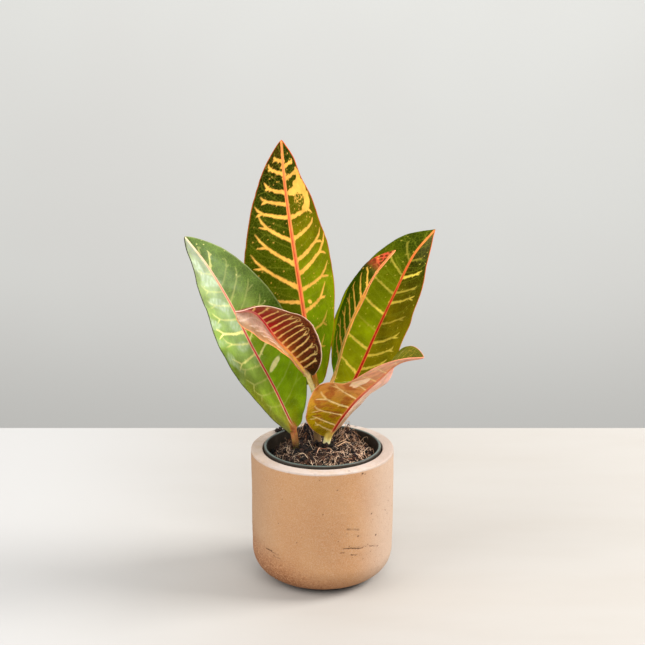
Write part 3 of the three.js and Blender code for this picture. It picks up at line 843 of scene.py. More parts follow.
def paint_leaf(leaf):
    """Colours of both faces of a leaf, and its vein coverage."""
    paint = PAINT[leaf.name]
    rng = np.random.default_rng(leaf.seed)
    right_half = smoothstep(-0.02, 0.02, leaf.v)
    front, back = blade_colours(leaf, paint)
    if leaf.name in EXTRAS:
        front = EXTRAS[leaf.name](leaf, front)
    veins, network = cover_both_kinds(leaf, paint, rng)
    front = mix(front, paint["faint"], paint["network"] * network)
    back = mix(back, paint["faint"], 0.3 * network)
    if "speckles" in paint:
        front = mix(front, paint["vein"], 0.85 * cover_dots(leaf, paint["speckles"], (0.1, 0.34), rng))

    def each_half(key):
        return mix(paint.get(key + "_left", paint[key]) + 0 * front, paint[key], right_half)

    vein = each_half("vein") * (1 + 0.06 * leaf.noise(22, 5)[..., None])
    front = mix(front, vein, veins)
    back = mix(back, paint["vein"] * 0.8, 0.6 * veins)
    rib, on_rib = rib_colours(leaf, paint)
    front = mix(front, rib, on_rib)
    back = mix(back, mix(rib, back, 0.35 + 0 * leaf.s), on_rib)
    inward = (1 - np.abs(leaf.v)) * leaf.half_width
    margin = smoothstep(paint["margin_width"] + 0.25, paint["margin_width"] - 0.25, inward)
    margin = margin * leaf.grown[:, None]
    front = mix(front, each_half("margin"), margin)
    back = mix(back, each_half("margin"), margin * 0.8)
    share = np.clip(leaf.from_foot / leaf.stalk_length, 0, 1)[:, None] + 0 * leaf.v
    stalk = along_stops(share, paint["petiole"])
    stalk = stalk * (1 + 0.12 * leaf.noise(23, 2.5, narrow=3)[..., None])
    beside_stalk = smoothstep(1.1, 2.2, np.abs(leaf.x) / leaf.radius[:, None])
    in_blade = np.maximum(leaf.grown[:, None], beside_stalk)
    return mix(stalk, front, in_blade), mix(stalk, back, in_blade), veins


def faint_veins(rng):
    """Fine side veins between the bold ones."""
    starts = np.arange(0.06, 0.93, 0.042)
    return [
        (start + rng.normal(0, 0.008), start + rng.uniform(0.03, 0.09), rng.uniform(0.6, 0.92), 1)
        for start in starts
    ]


def cover_both_kinds(leaf, paint, rng):
    """Coverage of the bold side veins, and of the fine net between them."""
    bold = dict(halves=paint["vein_halves"], fork=paint["fork"], spurs=paint.get("spurs", 2))
    fine = dict(halves=(0.2, 0.14), fork=1.4, spurs=3)
    veins, network = 0 * leaf.s, 0 * leaf.s
    for side, half in SIDES:
        veins = np.maximum(veins, cover_veins(leaf, paint["veins_" + half], side, rng, **bold))
    if "loops" in paint:
        veins = np.maximum(veins, paint["loops"] * looped_ends(leaf, paint["veins_right"], 1))
    for side, _ in SIDES:
        network = np.maximum(network, cover_veins(leaf, faint_veins(rng), side, rng, **fine))
    return veins, network


def rib_colours(leaf, paint):
    """The rib's colour at each place, and how much of the place it takes."""
    wide, narrow = paint["rib_band"]
    half = wide + (narrow - wide) * leaf.u
    from_rib = np.abs(leaf.x)
    inside = smoothstep(0.25, -0.25, from_rib - half * 0.62)
    rib = mix(paint["rib_edge"] + 0 * leaf.s[..., None], along_stops(leaf.u, paint["rib"]), inside)
    if "rib_core" in paint:
        core = smoothstep(0.3, -0.2, np.abs(leaf.x + 0.25) - half * 0.22)
        rib = mix(rib, paint["rib_core"], core * smoothstep(0.97, 0.8, leaf.u) * 0.8)
    return rib, smoothstep(0.22, -0.22, from_rib - half) * leaf.grown[:, None]


def blade_colours(leaf, paint):
    """Plain colours of both faces, before anything is drawn on them."""
    halves = []
    for _, half in SIDES:
        inner = along_stops(leaf.u, paint[half])
        outer = along_stops(leaf.u, paint.get(half + "_edge", paint[half]))
        halves.append(mix(inner, outer, smoothstep(0.35, 0.8, np.abs(leaf.v))))
    front = mix(*halves, smoothstep(-0.02, 0.02, leaf.v))
    back = along_stops(leaf.u, paint["back"])
    uneven = (leaf.noise(20, 9) * 0.12 + leaf.noise(21, 3) * 0.06)[..., None]
    return front * (1 + uneven), back * (1 + 0.7 * uneven)


LEAF_SLOTS = {
    "leaf_left": "leaf_green_whitish",
    "leaf_centre": "leaf_dark_green",
    "leaf_small_front": "leaf_maroon",
    "leaf_right_narrow": "leaf_dark_green",
    "leaf_right": "leaf_olive",
    "leaf_front": "leaf_orange_under",
}
LEAF_ROUGHNESS = {"leaf_left": 0.42, "leaf_small_front": 0.45, "leaf_front": 0.5}
LEAF_GLOSS = {"leaf_left": 0.12, "leaf_small_front": 0.12, "leaf_front": 0.05, "leaf_right_narrow": 0.0}


def leaf_material(name, glow):
    """Waxy leaf skin: painted pigment, a fine net of lighter cells, mottled gloss."""
    roughness = LEAF_ROUGHNESS.get(name, 0.42)
    skin = Skin(
        name + "_skin", roughness=roughness, specular_ior_level=LEAF_GLOSS.get(name, 0.02),
        subsurface_weight=0.1, subsurface_scale=0.0012, subsurface_radius=(1.0, 1.1, 0.3),
    )
    shaded = skin.toned(skin.painted()["Color"], skin.speckle(0.3, 0.7, 0.86, 1.14, feature=5))
    net = skin.cell_edges(1.7, 0.09)
    skin.set("Base Color", skin.blend(shaded, glow, net, 0.16))
    skin.set("Roughness", skin.speckle(0.25, 0.75, roughness - 0.07, roughness + 0.12, feature=3.5))
    fine = skin.plus(skin.times(skin.noise(0.5), 0.5), skin.times(net, -0.5))
    skin.bump(skin.plus(fine, skin.noise(2.5)), 0.07)
    return skin.material


def build_leaf(name, shape, seed):
    leaf = Leaf(name, shape, seed)
    front, back, veins = paint_leaf(leaf)
    uneven = 0.26 * leaf.noise(30, 14) + 0.09 * leaf.noise(31, 5)
    from_rib = np.abs(leaf.x)
    relief = uneven * smoothstep(1, 6, from_rib) - 0.13 * veins * smoothstep(0, 3, from_rib)
    mesh = make_mesh(name + "_blade", *capped_tube(leaf.rings(relief, 0.16 * veins)))
    set_colours(mesh, "pigment", leaf.both_faces(front, back))
    add_piece(name + "_grown", mesh, leaf_material(name, PAINT[name]["faint"]), LEAF_SLOTS[name], name)


# ---------------------------------------------------------------- the stem
STEM_PATH = [
    (-3.6, 7.2, 42), (-2.8, 7.1, 70), (-2.7, 7.5, 82),
    (-2.4, 7.9, 91), (-2.8, 7.5, 98), (-3.6, 6.9, 104),
]
STEM_FOOT_RADIUS = 2.2
STEM_TOP_RADIUS = 1.6
BUD_LENGTH = 5.5
BUD_TIP_RADIUS = 0.3
LEAF_SCARS = (66, 72.5, 79, 86, 92, 97)  # heights of the old leaf joints
STEM_SIDES = 64
STEM_COLOURS = [  # by height
    (60, rgb(88, 62, 44)), (76, rgb(118, 88, 52)), (90, rgb(135, 125, 55)), (104, rgb(150, 150, 70)),
]


def stem_rings():
    curve = smooth_curve(STEM_PATH)
    length = run_of(curve)[-1]
    run = np.arange(0, length, 0.35)
    centre = at_distances(curve, run)
    along = directions(centre, 3)
    across = unit(np.cross(along, (0.0, 1.0, 0.0)))
    outward = np.cross(along, across)
    radius = STEM_FOOT_RADIUS + (STEM_TOP_RADIUS - STEM_FOOT_RADIUS) * run / (length - BUD_LENGTH)
    bud = np.clip((run - length + BUD_LENGTH) / BUD_LENGTH, 0, 1)
    radius = np.where(bud > 0, STEM_TOP_RADIUS + (BUD_TIP_RADIUS - STEM_TOP_RADIUS) * bud**2, radius)
    angle = np.linspace(0, 2 * np.pi, STEM_SIDES, endpoint=False)
    height = centre[:, 2:3] + 0 * angle
    scar = sum(np.exp(-(((height - z) - 0.5 * np.sin(angle + z)) / 0.5) ** 2) for z in LEAF_SCARS)
    ridged = 0.07 * soft_noise(81, 1.1, angle * 2.2 + 0 * height, height * 0.2)
    rough = 0.06 * soft_noise(82, 1.4, angle * 2 + 0 * height, height)
    swollen = radius[:, None] + 0.2 * scar + (ridged + rough) * (1 - bud[:, None])
    rings = centre[:, None] + swollen[..., None] * (
        np.cos(angle)[None, :, None] * across[:, None] + np.sin(angle)[None, :, None] * outward[:, None]
    )
    return rings[:, ::-1], scar[:, ::-1]


def build_stem():
    rings, scar = stem_rings()
    mesh = make_mesh("main_stem_bark", *capped_tube(rings))
    colour = along_stops(rings[..., 2], STEM_COLOURS)
    colour = mix(colour, rgb(80, 58, 38), 0.55 * np.clip(scar, 0, 1))
    set_colours(mesh, "pigment", np.concatenate([colour.reshape(-1, 3), colour[0, :1], colour[-1, :1]]))
    skin = Skin("stem_bark_skin", roughness=0.7)
    streaks = skin.speckle(0.3, 0.7, 0.7, 1.25, feature=0.9, stretch=(1, 1, 0.25))
    skin.set("Base Color", skin.toned(skin.painted()["Color"], streaks))
    skin.bump(skin.noise(0.7, stretch=(1, 1, 0.3)), 0.15)
    add_piece("main_stem_grown", mesh, skin.material, "stem_bark", "main_stem")


# ---------------------------------------------------------------- the planter
PLANTER_RADIUS = 38
PLANTER_BASE_RADIUS = 37.6
PLANTER_HEIGHT = 72.6
PLANTER_CORNER = 16
PLANTER_FOOT_RADIUS = 21.5
PLANTER_FOOT_HEIGHT = 1.5
PLANTER_OPENING = 31.9
PLANTER_CAVITY_FLOOR = 29.5
PLANTER_FLOOR_LEVEL = 12
PLANTER_SIDES = 600
SIDE_STEP = 0.36
HIDDEN_STEP = 1.6

# Where the photo shows marks on the side: degrees from the front, positive to the right, height.
PLANTER_CRACKS = [  # (start, end, half height, depth)
    ((17, 30.0), (34, 28.1), 0.2, 0.3),
    ((14.5, 27.6), (17.5, 27.7), 0.18, 0.22),
    ((26, 29.8), (38, 28.6), 0.12, 0.12),
    ((40.5, 28.2), (51, 25.9), 0.15, 0.2),
    ((23.2, 25.6), (28, 25.1), 0.18, 0.24),
    ((20, 40.6), (30, 39.2), 0.5, 0.07),
    ((-52, 24.5), (-45, 24.6), 0.22, 0.24),
    ((-46, 24.2), (-38, 23.4), 0.18, 0.16),
    ((-43, 22.2), (-36, 21.5), 0.16, 0.14),
]
PLANTER_PITS = [  # (degrees, height, radius, depth)
    (43, 46, 0.4, 0.35), (48, 33, 0.45, 0.4), (29.5, 35.5, 0.42, 0.35), (39, 29.4, 0.3, 0.25),
    (65, 41.2, 0.3, 0.3), (62, 44, 0.3, 0.25), (67, 48, 0.3, 0.25), (70, 55, 0.3, 0.25),
    (-2.5, 69, 0.25, 0.25), (33, 70.2, 0.5, 0.3), (35.5, 69.6, 0.35, 0.25), (31.5, 69.4, 0.25, 0.2),
]
RANDOM_PITS = 70


def planter_profile():
    """Radius and height, from the middle of the underside up the outside and down the inside."""
    low, top = PLANTER_FOOT_HEIGHT, PLANTER_HEIGHT
    foot = PLANTER_FOOT_RADIUS
    corner = PLANTER_CORNER
    edge, lip = 0.8, 0.5
    under = [(0.02, 0), (foot - 0.4, 0), (foot, 0.4), (foot, low)]
    side = arc((PLANTER_BASE_RADIUS - corner, low + corner), corner, -90, 0, 24)
    side += arc((PLANTER_RADIUS - edge, top - edge), edge, 0, 90, 8)
    inside = arc((PLANTER_OPENING + lip, top - lip), lip, 90, 180, 7)
    cavity = PLANTER_CAVITY_FLOOR
    level = PLANTER_FLOOR_LEVEL
    inside += [(cavity, level + 1.5), (cavity - 1.5, level), (0.02, level)]
    parts = [spaced(under, HIDDEN_STEP), spaced(side, SIDE_STEP), spaced(inside, HIDDEN_STEP)]
    return np.vstack(parts)


def marks_depth(degrees, height):
    """How deep the cracks and pits cut at each place of the side, in mm."""
    depth = 0 * height
    arc_mm = math.radians(1) * PLANTER_RADIUS
    for (a, za), (b, zb), half, deep in PLANTER_CRACKS:
        t = np.clip((degrees - a) / (b - a), 0, 1)
        wander = 0.16 * soft_noise(91, 2.4, degrees * arc_mm, 0 * height)
        off = np.hypot(height - (za + (zb - za) * t) - wander, (degrees - a - (b - a) * t) * arc_mm)
        ragged = 0.75 + 0.5 * soft_noise(92, 1.3, degrees * arc_mm, height)
        depth = np.maximum(depth, deep * smoothstep(half * 1.7, half * 0.5, off) * np.clip(ragged, 0, 1.3))
    rng = np.random.default_rng(9)
    pits = list(PLANTER_PITS)
    for _ in range(RANDOM_PITS):
        lower = rng.beta(1.2, 1.8)
        pits.append((rng.uniform(-180, 180), 6 + 64 * lower, rng.uniform(0.2, 0.36), rng.uniform(0.1, 0.25)))
    for place, level, radius, deep in pits:
        near = np.abs((degrees - place + 180) % 360 - 180) * arc_mm
        gap = np.hypot(near, height - level) / radius
        depth = np.maximum(depth, deep * smoothstep(1.35, 0.35, gap))
    return depth


def build_planter():
    profile = planter_profile()
    rings, angle = lathe(profile, PLANTER_SIDES)
    radius = profile[:, 0][:, None] + 0 * angle
    height = rings[..., 2].copy()
    degrees = (np.degrees(angle)[None] + 180) % 360 - 180 + 0 * height
    last_outer = int(np.argmax(profile[:, 1] >= PLANTER_HEIGHT - 0.05))
    outer = (np.arange(len(profile)) <= last_outer)[:, None]
    on_side = outer * smoothstep(PLANTER_FOOT_HEIGHT, 4, height) * (radius > PLANTER_FOOT_RADIUS + 2)
    depth = marks_depth(degrees, height) * on_side
    round_side = [PLANTER_RADIUS * way + 0 * height for way in (np.sin(angle), np.cos(angle))] + [height]
    uneven = 0.12 * soft_noise(93, 16, *round_side) + 0.045 * soft_noise(94, 1.7, *round_side)
    brow = smoothstep(PLANTER_HEIGHT - 3.5, PLANTER_HEIGHT - 0.5, height) * outer
    chipped = brow * np.clip(soft_noise(95, 2.2, *round_side) - 0.55, 0, 1)
    push = uneven * on_side - depth - 0.5 * chipped * on_side
    rings[..., 0] += push * np.sin(angle)
    rings[..., 1] -= push * np.cos(angle)
    flat = (radius > PLANTER_OPENING + 0.6) & (radius < PLANTER_RADIUS - 1) & (height > PLANTER_HEIGHT - 0.3)
    rings[..., 2] += np.where(flat, 0.05 * soft_noise(96, 3, rings[..., 0], rings[..., 1]) - 0.03, 0)
    mesh = make_mesh("planter_body", *capped_tube(rings))
    # painted shade: the cracks, pits and chips painted dark by how deep they cut
    dark = np.clip(depth / 0.17 + 0.2 * chipped, 0, 1)
    set_values(mesh, "marks", np.concatenate([dark.ravel(), [0, 0]]))
    add_piece("planter_earthenware", mesh, planter_material(), "earthenware", "planter_pot")


def planter_material():
    """Unglazed clay: mottled tan, paler on the rim, browner low down, with dark pores; painted sheen on the
    sides towards the lamps, painted shade in the cracks, pits and under the foot.
    """
    skin = Skin("planter_clay", roughness=0.88, specular_ior_level=0.25)
    x, z = skin.along("X"), skin.along("Z")
    clay = skin.blend(rgb(174, 131, 91), rgb(169, 124, 84), skin.speckle(0.35, 0.65, feature=24, detail=2))
    # painted sheen: the sides towards the key lamp at the right and the fill at the left painted paler and
    # greyer
    clay = skin.blend(clay, rgb(174, 153, 137), skin.ramp(x, 14, 36), 0.85)
    clay = skin.blend(clay, rgb(169, 138, 110), skin.ramp(x, -18, -38), 0.6)
    grains = skin.speckle(0.4, 0.68, feature=0.55, detail=3, roughness=0.6)
    clay = skin.blend(clay, rgb(190, 162, 135), grains, 0.4)
    # browner low down, most of all at the left, with sandy and dark grains
    ragged = skin.plus(skin.times(skin.noise(4, 6, 0.7), 12), skin.times(x, 0.42))
    low = skin.ramp(skin.plus(z, ragged), 26, 3)
    clay = skin.blend(clay, rgb(134, 76, 36), low, 0.68)
    sandy = skin.speckle(0.5, 0.62, feature=0.8, detail=2, roughness=0.6)
    clay = skin.blend(clay, rgb(200, 152, 112), skin.times(sandy, low), 0.7)
    coarse = skin.speckle(0.5, 0.62, feature=1.5, detail=4, roughness=0.65, stretch=(1, 1, 1.6))
    clay = skin.blend(clay, rgb(104, 54, 26), skin.times(coarse, low), 0.6)
    pale = skin.blend(rgb(189, 175, 166), rgb(184, 166, 151), skin.speckle(0.4, 0.65, feature=5))
    pale = skin.blend(pale, rgb(169, 153, 142), skin.ramp(x, 20, 38))
    pale = skin.blend(pale, rgb(180, 154, 132), skin.ramp(x, -20, -37), 0.35)
    clay = skin.blend(clay, pale, skin.ramp(z, PLANTER_HEIGHT - 1.6, PLANTER_HEIGHT - 0.9))
    pores = skin.speckle(0.64, 0.72, feature=0.6, detail=2, roughness=0.5)
    clay = skin.blend(clay, rgb(142, 99, 67), pores, skin.ramp(x, -10, 30, 0.2, 0.75))
    # painted shade in the cracks, pits and chips
    clay = skin.blend(clay, rgb(61, 34, 20), skin.painted("marks")["Fac"], 0.95)
    # painted shade: the underside and foot painted near black, for the contact shadow under the pot
    clay = skin.blend(clay, rgb(34, 20, 13), skin.ramp(z, 3.6, 1), 0.92)
    skin.set("Base Color", clay)
    skin.bump(skin.plus(skin.noise(0.9, 6, 0.7), skin.times(skin.noise(0.25, 3), 0.5)), 0.18)
    return skin.material


# ---------------------------------------------------------------- the nursery pot
NURSERY_RIM_RADIUS = 31.2
NURSERY_RIM_TOP = 74
NURSERY_RIM_HEIGHT = 3.2
NURSERY_RIM_THICKNESS = 1.6
NURSERY_NECK_RADIUS = 30.4
NURSERY_BASE_RADIUS = 23.5
NURSERY_WALL = 1.2
NURSERY_FLOOR = 1.6
NURSERY_BASE = PLANTER_FLOOR_LEVEL + 0.3
NURSERY_NECK = NURSERY_RIM_TOP - NURSERY_RIM_HEIGHT
NURSERY_SIDES = 256


def nursery_radius(z):
    share = (z - NURSERY_BASE) / (NURSERY_NECK - NURSERY_BASE)
    return NURSERY_BASE_RADIUS + (NURSERY_NECK_RADIUS - NURSERY_BASE_RADIUS) * share


def build_nursery_pot():
    round_over = NURSERY_RIM_THICKNESS / 2
    inside = NURSERY_BASE + NURSERY_FLOOR
    profile = [(0.02, NURSERY_BASE), (NURSERY_BASE_RADIUS - 0.5, NURSERY_BASE)]
    profile += [(NURSERY_BASE_RADIUS, NURSERY_BASE + 0.5), (NURSERY_NECK_RADIUS, NURSERY_NECK)]
    profile += [(NURSERY_RIM_RADIUS, NURSERY_NECK + 0.1)]
    profile += arc((NURSERY_RIM_RADIUS - round_over, NURSERY_RIM_TOP - round_over), round_over, 0, 180, 14)
    profile += [(NURSERY_NECK_RADIUS - NURSERY_WALL, NURSERY_NECK - NURSERY_WALL)]
    profile += [(nursery_radius(inside) - NURSERY_WALL, inside), (0.02, inside)]
    rings, angle = lathe(spaced(profile, 1.1), NURSERY_SIDES)
    uneven = 0.06 * soft_noise(101, 9, 30 * np.sin(angle), 30 * np.cos(angle))
    rings[..., 2] += uneven * smoothstep(NURSERY_NECK, NURSERY_RIM_TOP, rings[..., 2])
    mesh = make_mesh("nursery_pot_body", *capped_tube(rings))
    skin = Skin("nursery_plastic", roughness=0.4, specular_ior_level=0.35)
    # painted highlight: a thin light grey-teal line along the top of the rolled rim, the rest of the plastic
    # dark
    painted_lip_highlight = skin.ramp(skin.along("Z"), NURSERY_RIM_TOP - 0.35, NURSERY_RIM_TOP - 0.05)
    plastic = skin.blend(rgb(42, 35, 27), rgb(84, 97, 91), painted_lip_highlight)
    dusty = skin.speckle(0.45, 0.75, feature=2.2, detail=5, roughness=0.65)
    skin.set("Base Color", skin.blend(plastic, rgb(96, 90, 80), dusty, 0.2))
    skin.set("Roughness", skin.speckle(0.3, 0.7, 0.34, 0.55, feature=1.2))
    skin.bump(skin.noise(0.8), 0.05)
    add_piece("nursery_pot_moulded", mesh, skin.material, "black_plastic", "nursery_pot")


# ---------------------------------------------------------------- the soil
SOIL_EDGE = 66.8
SOIL_MOUND = 4.6
SOIL_GRAIN = 0.55
SOIL_CLUMPS = [((-9, 20), 5.5, 7.5), ((14, 18), 6.5, 6.5), ((8, -14), 7, 1.6), ((-16, -10), 6, 1.4)]
SOIL_BOTTOM = NURSERY_BASE + NURSERY_FLOOR + 0.3
SOIL_LUMPS = ((0.7, 111, 2.4), (0.4, 112, 1.1), (0.25, 113, 0.6))  # height, seed, size
SOIL_RINGS = 84
SOIL_SIDES = 340
CRUMBS = 2300
CHIPS = 260
FIBRES = 1700
TUFT_FIBRES = 420
FIBRE_STEPS = 8


def soil_edge_radius(z=SOIL_EDGE):
    return nursery_radius(z) - NURSERY_WALL - 0.3


def soil_level(x, y):
    """Height of the soil's surface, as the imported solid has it."""
    share = np.minimum(1, np.hypot(x, y) / soil_edge_radius())
    rise = SOIL_MOUND * (1 - share**2)
    for (cx, cy), radius, height in SOIL_CLUMPS:
        rise = rise + height * np.exp(-((x - cx) ** 2 + (y - cy) ** 2) / (0.5 * radius**2))
    uneven = np.sin(0.9 * x + 1.3) * np.cos(0.8 * y - 0.4) + np.sin(0.5 * x - 0.7 * y)
    return SOIL_EDGE + np.maximum(-1, rise + SOIL_GRAIN * uneven)


def soil_material(name, low, high):
    """Damp peat and bark, painted piece by piece and speckled."""
    skin = Skin(name, roughness=0.85, specular_ior_level=0.3)
    speckle = skin.speckle(0.3, 0.7, low, high, feature=0.45, detail=4, roughness=0.7)
    skin.set("Base Color", skin.toned(skin.painted()["Color"], speckle))
    skin.bump(skin.noise(0.35, 5, 0.7), 0.2)
    return skin.material


def build_soil_bed():
    inner = soil_edge_radius()
    profile = [(0.02, SOIL_BOTTOM)]
    profile += [(soil_edge_radius(z), z) for z in np.linspace(SOIL_BOTTOM, SOIL_EDGE - 1.2, 24)]
    profile += [(inner * share, SOIL_EDGE) for share in np.linspace(1, 0.0008, SOIL_RINGS)]
    rings, _ = lathe(profile, SOIL_SIDES)
    top = rings[-SOIL_RINGS:]
    x, y = top[..., 0], top[..., 1]
    crumbly = sum(high * soft_noise(seed, size, x, y) for high, seed, size in SOIL_LUMPS)
    rim = smoothstep(inner, inner - 1, np.hypot(x, y))
    top[..., 2] = soil_level(x, y) + (crumbly - 0.4) * rim - 0.3
    points, quads, triangles = capped_tube(rings)
    mesh = make_mesh("soil_bed_body", points, quads, triangles)
    # the bed painted almost black: the dark peat, with the shade of the gaps between crumbs and fibres
    # painted into it
    shade = smoothstep(-0.6, 1.2, soft_noise(114, 3, points[:, 0], points[:, 1]))
    set_colours(mesh, "pigment", mix(rgb(5, 3, 2) + 0 * points, rgb(20, 12, 8), shade))
    add_piece("soil_bed", mesh, soil_material("soil_peat", 0.5, 1.5), "potting_soil", "soil")


def on_soil(rng, count):
    """Random places on the soil, x and y."""
    radius = (soil_edge_radius() - 0.7) * np.sqrt(rng.beta(1.15, 1.0, count))
    angle = rng.uniform(0, 2 * np.pi, count)
    return radius * np.cos(angle), radius * np.sin(angle)


def picked(rng, palette, count, low, high):
    """Colours drawn from a palette, each a little darker or lighter."""
    return palette[rng.integers(0, len(palette), count)] * rng.uniform(low, high, (count, 1))


def lump():
    """Points and triangles of a small round body."""
    body = bmesh.new()
    bmesh.ops.create_icosphere(body, subdivisions=2, radius=1)
    points = np.array([tuple(vert.co) for vert in body.verts])
    triangles = np.array([[vert.index for vert in face.verts] for face in body.faces])
    body.free()
    return points, triangles


def random_turns(rng, count):
    """Rotation matrices in all directions."""
    q = unit(rng.normal(size=(count, 4)))
    w, x, y, z = q.T
    rows = [
        [1 - 2 * (y * y + z * z), 2 * (x * y - w * z), 2 * (x * z + w * y)],
        [2 * (x * y + w * z), 1 - 2 * (x * x + z * z), 2 * (y * z - w * x)],
        [2 * (x * z - w * y), 2 * (y * z + w * x), 1 - 2 * (x * x + y * y)],
    ]
    return np.array(rows).transpose(2, 0, 1)


def scattered(name, places, sizes, colours, seed, material):
    """One piece of many irregular lumps: a size of three half widths for each, in mm."""
    rng = np.random.default_rng(seed)
    ball, triangles = lump()
    count = len(places)
    bumps = 1 + 0.2 * rng.normal(size=(count, len(ball), 1)).clip(-1.6, 1.6)
    body = (ball[None] * bumps) * sizes[:, None]
    body = np.einsum("nij,nkj->nki", random_turns(rng, count), body) + places[:, None]
    faces = triangles[None] + (np.arange(count) * len(ball))[:, None, None]
    mesh = make_mesh(name + "_body", body.reshape(-1, 3), faces.reshape(-1, 3))
    set_colours(mesh, "pigment", np.repeat(colours, len(ball), 0))
    add_piece(name, mesh, material, "potting_soil")


CRUMB_COLOURS = np.array([
    rgb(8, 5, 4), rgb(15, 9, 6), rgb(28, 16, 12), rgb(50, 30, 22), rgb(32, 18, 22), rgb(83, 52, 37),
])
DARK_CRUMBS = CRUMB_COLOURS[:4]
FIBRE_COLOURS = np.array([
    rgb(172, 124, 88), rgb(120, 76, 50), rgb(194, 154, 124),
    rgb(80, 44, 28), rgb(46, 25, 17), rgb(212, 180, 148),
])
BOLD_FIBRE = rgb(248, 212, 180)
HEAPS = [  # (middle, spread, count, height); the last three lie round the stems
    ((-9, 20), 2.6, 190, 1.6), ((14, 18), 3.2, 150, 1.4),
    ((-9.6, -3.6), 1.7, 90, 2.6), ((2.2, 1.4), 1.7, 90, 2.6), ((-3.4, 6), 2.2, 60, 2),
]
RIM_CRUMBS = 26  # they lie on the rims at the back, along this line
RIM_LINE = ((-25.5, -20), (20, 25))  # its x, its y


def build_crumbs():
    rng = np.random.default_rng(121)
    x, y = on_soil(rng, CRUMBS)
    size = rng.gamma(3.2, 0.17, CRUMBS).clip(0.22, 1.3)
    sizes = size[:, None] * rng.uniform(0.55, 1.2, (CRUMBS, 3))
    z = soil_level(x, y) + size * rng.uniform(-0.3, 0.8, CRUMBS)
    # painted shadow: the crumbs darker towards the left, where the leaves' shadow falls
    colours = picked(rng, CRUMB_COLOURS, CRUMBS, 0.7, 1.3) * (0.7 + 0.01 * x)[:, None]
    material = soil_material("soil_crumb", 0.6, 1.5)
    scattered("soil_crumbs", np.stack([x, y, z], 1), sizes, colours, 122, material)


def build_chips():
    """Flat bits of bark, and the crumbs that lie heaped at the back and on the rims."""
    rng = np.random.default_rng(131)
    x, y = on_soil(rng, CHIPS)
    sizes = [np.stack([rng.uniform(*span, CHIPS) for span in ((0.9, 2.3), (0.35, 0.9), (0.15, 0.4))], 1)]
    places = [np.stack([x, y, soil_level(x, y) + rng.uniform(0, 1, CHIPS)], 1)]
    for (cx, cy), spread, count, lift in HEAPS:
        hx, hy = cx + rng.normal(0, spread, count), cy + rng.normal(0, spread, count)
        places.append(np.stack([hx, hy, soil_level(hx, hy) + rng.uniform(0, lift, count)], 1))
        sizes.append(rng.uniform(0.3, 1.15, (count, 3)))
    rx, ry = (start + (end - start) * rng.uniform(0, 1, RIM_CRUMBS) for start, end in RIM_LINE)
    ry = ry + rng.normal(0, 0.7, RIM_CRUMBS)
    rims = [NURSERY_RIM_TOP, PLANTER_HEIGHT + 1, PLANTER_HEIGHT + 0.3]
    level = np.interp(np.hypot(rx, ry), [30.2, 31.6, 33], rims)
    places.append(np.stack([rx, ry, level + rng.uniform(0, 1.1, RIM_CRUMBS)], 1))
    sizes.append(rng.uniform(0.25, 0.95, (RIM_CRUMBS, 3)))
    places, sizes = np.vstack(places), np.vstack(sizes)
    colours = picked(rng, DARK_CRUMBS, len(places), 0.7, 1.3)
    scattered("soil_bark", places, sizes, colours, 132, soil_material("soil_bark_bits", 0.6, 1.5))


def tubes(name, paths, radii, colours, material, sides=5):
    """One piece of many thin closed tubes: paths (count, steps, 3) and radii (count, steps)."""
    count, steps, _ = paths.shape
    along = unit(np.gradient(paths, axis=1))
    up = np.zeros_like(along)
    up[..., 2] = 1
    up[..., 0] = 0.3
    across = unit(np.cross(along, up))
    over = np.cross(across, along)
    angle = np.linspace(0, 2 * np.pi, sides, endpoint=False)
    ring = np.cos(angle)[:, None] * across[:, :, None] + np.sin(angle)[:, None] * over[:, :, None]
    points = paths[:, :, None] + radii[..., None, None] * ring
    one = ring_faces(steps, sides)[:, ::-1]
    ends = np.array([[k, k + 1, 0] for k in range(1, sides - 1)])
    last = (steps - 1) * sides
    starts = np.arange(count) * steps * sides
    quads = one[None] + starts[:, None, None]
    caps = np.vstack([ends, (ends + last)[:, ::-1]])[None] + starts[:, None, None]
    mesh = make_mesh(name + "_body", points.reshape(-1, 3), quads.reshape(-1, 4), caps.reshape(-1, 3))
    set_colours(mesh, "pigment", np.repeat(colours, steps * sides, 0))
    add_piece(name, mesh, material, "potting_soil")


def fibre_paths(rng, x, y, length, arch, rise):
    """Curved threads that start at x, y; arch lifts their middles, rise their far ends."""
    count = len(x)
    t = np.linspace(0, 1, FIBRE_STEPS)[None]
    heading = rng.uniform(0, 2 * np.pi, (count, 1)) + rng.normal(0, 1.0, (count, 1)) * t
    step = length[:, None] / FIBRE_STEPS
    px = x[:, None] + np.cumsum(np.cos(heading) * step, 1)
    py = y[:, None] + np.cumsum(np.sin(heading) * step, 1)
    pull = np.minimum(1, (soil_edge_radius() - 0.4) / np.maximum(np.hypot(px, py), 1e-6))
    px, py = px * pull, py * pull
    wiggle = 0.16 * np.sin(t * rng.uniform(3, 9, (count, 1)) + rng.uniform(0, 6, (count, 1)))
    lift = arch[:, None] * np.sin(np.pi * t) + rise[:, None] * t + wiggle
    return np.stack([px, py, soil_level(px, py) + 0.1 + lift], -1)


def thread_radii(rng, count, low, high):
    """Radii along threads that grow thinner to their ends."""
    return rng.uniform(low, high, (count, 1)) * np.linspace(1, 0.45, FIBRE_STEPS)


